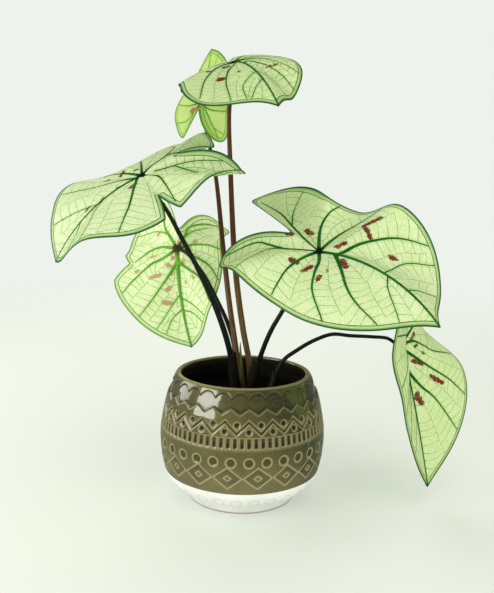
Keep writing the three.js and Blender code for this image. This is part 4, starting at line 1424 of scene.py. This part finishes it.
# Tones high up and low down, streaks, the heights between which the tone changes, roughness.
STALK_LOOKS = {
    "brown_stalk": ((80, 44, 16), (108, 78, 44), (58, 34, 14), 0.17, 0.25, 0.45),
    "dark_stalk": ((22, 28, 23), (11, 11, 9), (9, 12, 9), 0.10, 0.20, 0.42),
    "green_sheath": ((112, 118, 66), (84, 78, 44), (96, 70, 42), 0.10, 0.14, 0.5),
    "brown_sheath": ((122, 90, 60), (96, 74, 50), (58, 34, 20), 0.10, 0.14, 0.5),
    "dark_sheath": ((26, 15, 8), (8, 7, 5), (12, 9, 5), 0.10, 0.14, 0.5),
}
BROWN_SHEATHS = {"young": "green_sheath", "top": "brown_sheath"}  # those of the two brown stalks


def make_stalks():
    looks = {label: [stalk_material(label, *tones)] for label, tones in STALK_LOOKS.items()}
    for name in LEAVES:
        kind = "brown" if name in BROWN_SHEATHS else "dark"
        make_stalk(name, looks[kind + "_stalk"])
        make_sheath(name, looks[BROWN_SHEATHS.get(name, "dark_sheath")])


# ---------------------------------------------------------------- soil and tuber

SOIL_EDGE = 63.7
# Outside of the soil, just clear of the pot's inside: [radius, height].
SOIL_SIDE = [[0, 9.3], [46.7, 9.3], [59.6, 15], [65.4, 30], [68.3, 45], [68.7, 60], [67.3, 75], [64.2, 90]]
SOIL_STEPS = 160
SOIL_RINGS = 44
CRUMBS = 620
CRUMB_REACH = 61.0  # radius of the round that the crumbs lie in
CRUMB_SIZES = (0.7, 0.9, 1.2, 1.6, 2.2)
CRUMB_SHAPE = ((0.6, 1.5), (0.5, 1.0), (0.35, 0.8))  # shares of its size along X, Y and Z


def soil_height(x, y):
    """Low heaps in the soil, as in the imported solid, with smaller lumps on them."""
    inward = 1 - soft_step((np.hypot(x, y) - 20) / 38)
    heaps = (np.sin(x / 9) * np.cos(y / 11) + np.sin((x + y) / 6) / 2) * 1.4 * inward
    lumps = np.sin(x * 0.9 + 2 * np.sin(y * 0.5)) * np.sin(y * 0.8 + 1.7 * np.sin(x * 0.6))
    small = np.sin(x * 2.3 + y) * np.sin(y * 2.1 - x)
    return SOIL_TOP + heaps + 0.55 * lumps + 0.3 * small


def make_soil():
    top = [[SOIL_EDGE * (1 - k / SOIL_RINGS), SOIL_TOP] for k in range(SOIL_RINGS + 1)]
    bm = spun(SOIL_SIDE + top, SOIL_STEPS)
    bmesh.ops.recalc_face_normals(bm, faces=bm.faces)
    rng = random.Random(SEED)
    for _ in range(CRUMBS):
        angle = rng.uniform(0, 2 * math.pi)
        out = CRUMB_REACH * math.sqrt(rng.random())
        size = rng.choice(CRUMB_SIZES)
        x = out * math.cos(angle)
        y = out * math.sin(angle)
        z = float(soil_height(np.float64(x), np.float64(y))) + size * 0.15
        lump = bmesh.ops.create_icosphere(bm, subdivisions=1, radius=size * MM)["verts"]
        squeeze = [rng.uniform(*span) for span in CRUMB_SHAPE]
        turn = Matrix.Rotation(rng.uniform(0, math.pi), 4, "Z")
        turn = turn @ Matrix.Rotation(rng.uniform(-0.5, 0.5), 4, "X")
        for vert in lump:
            vert.co = Vector(a * b * rng.uniform(0.8, 1.2) for a, b in zip(vert.co, squeeze))
        bmesh.ops.transform(bm, matrix=Matrix.Translation((x * MM, y * MM, z * MM)) @ turn, verts=lump)
    mesh = to_mesh("soil", bm)
    places = places_of(mesh)
    on_top = np.abs(places[:, 2] - SOIL_TOP) < 1e-3
    places[:, 2] = np.where(on_top, soil_height(places[:, 0], places[:, 1]), places[:, 2])
    set_places(mesh, places)
    looks = [earth_material("potting_soil", srgb(5, 4, 3), srgb(30, 22, 15),
                            light_share=0.3, rough=0.95)]
    finish_piece("potting_soil", mesh, looks, "soil")


def make_tuber():
    """The buried tuber: a rough flattened ball with ring-shaped leaf scars."""
    bm = bmesh.new()
    bmesh.ops.create_icosphere(bm, subdivisions=5, radius=1.0)
    mesh = to_mesh("tuber", bm)
    ball = places_of(mesh) * MM
    turn = np.arctan2(ball[:, 1], ball[:, 0])
    scars = 0.018 * np.sin(ball[:, 2] * 26) + 0.02 * np.sin(turn * 5 + ball[:, 2] * 3)
    ball = ball * (0.96 + scars)[:, None]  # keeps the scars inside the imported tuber
    half = np.array([TUBER["radius"], TUBER["radius"], TUBER["height"] / 2])
    set_places(mesh, ball * half + np.array(TUBER["centre"]))
    looks = [earth_material("tuber_skin", srgb(72, 46, 28), srgb(142, 104, 68),
                            light_share=0.8, rough=0.8)]
    finish_piece("tuber_body", mesh, looks, "tuber")


# ---------------------------------------------------------------- the scene


def make_floor():
    bm = bmesh.new()
    bmesh.ops.create_circle(bm, cap_ends=True, segments=96, radius=FLOOR_RADIUS)
    mesh = to_mesh("floor", bm, smooth=False)
    mesh.materials.append(floor_material())
    new_object("floor", mesh)


def make_studio():
    """Even daylight, soft lamps and a plain backdrop that only the camera sees."""
    scene = bpy.context.scene
    scene.view_settings.view_transform = "Standard"
    world = bpy.data.worlds.new("studio")
    scene.world = world
    world.use_nodes = True
    tree = world.node_tree
    sky = tree.nodes["Background"]
    sky.inputs["Color"].default_value = srgb(244, 247, 243)
    rays = add_node(tree, "ShaderNodeLightPath").outputs
    feed(tree, sky.inputs["Strength"],
         calc(tree, "MULTIPLY_ADD", rays["Is Glossy Ray"], MIRRORED_DAYLIGHT - DAYLIGHT, DAYLIGHT))
    backdrop = add_node(tree, "ShaderNodeBackground", {"Color": BACKDROP})
    seen = mix_shaders(tree, rays["Is Camera Ray"], sky.outputs[0], backdrop.outputs[0])
    feed(tree, tree.nodes["World Output"].inputs["Surface"], seen)
    for name, lamp in LAMPS.items():
        add_lamp(name, *lamp)


add_camera()
make_studio()
make_floor()
make_pot()
make_soil()
make_tuber()
make_stalks()
make_leaves()
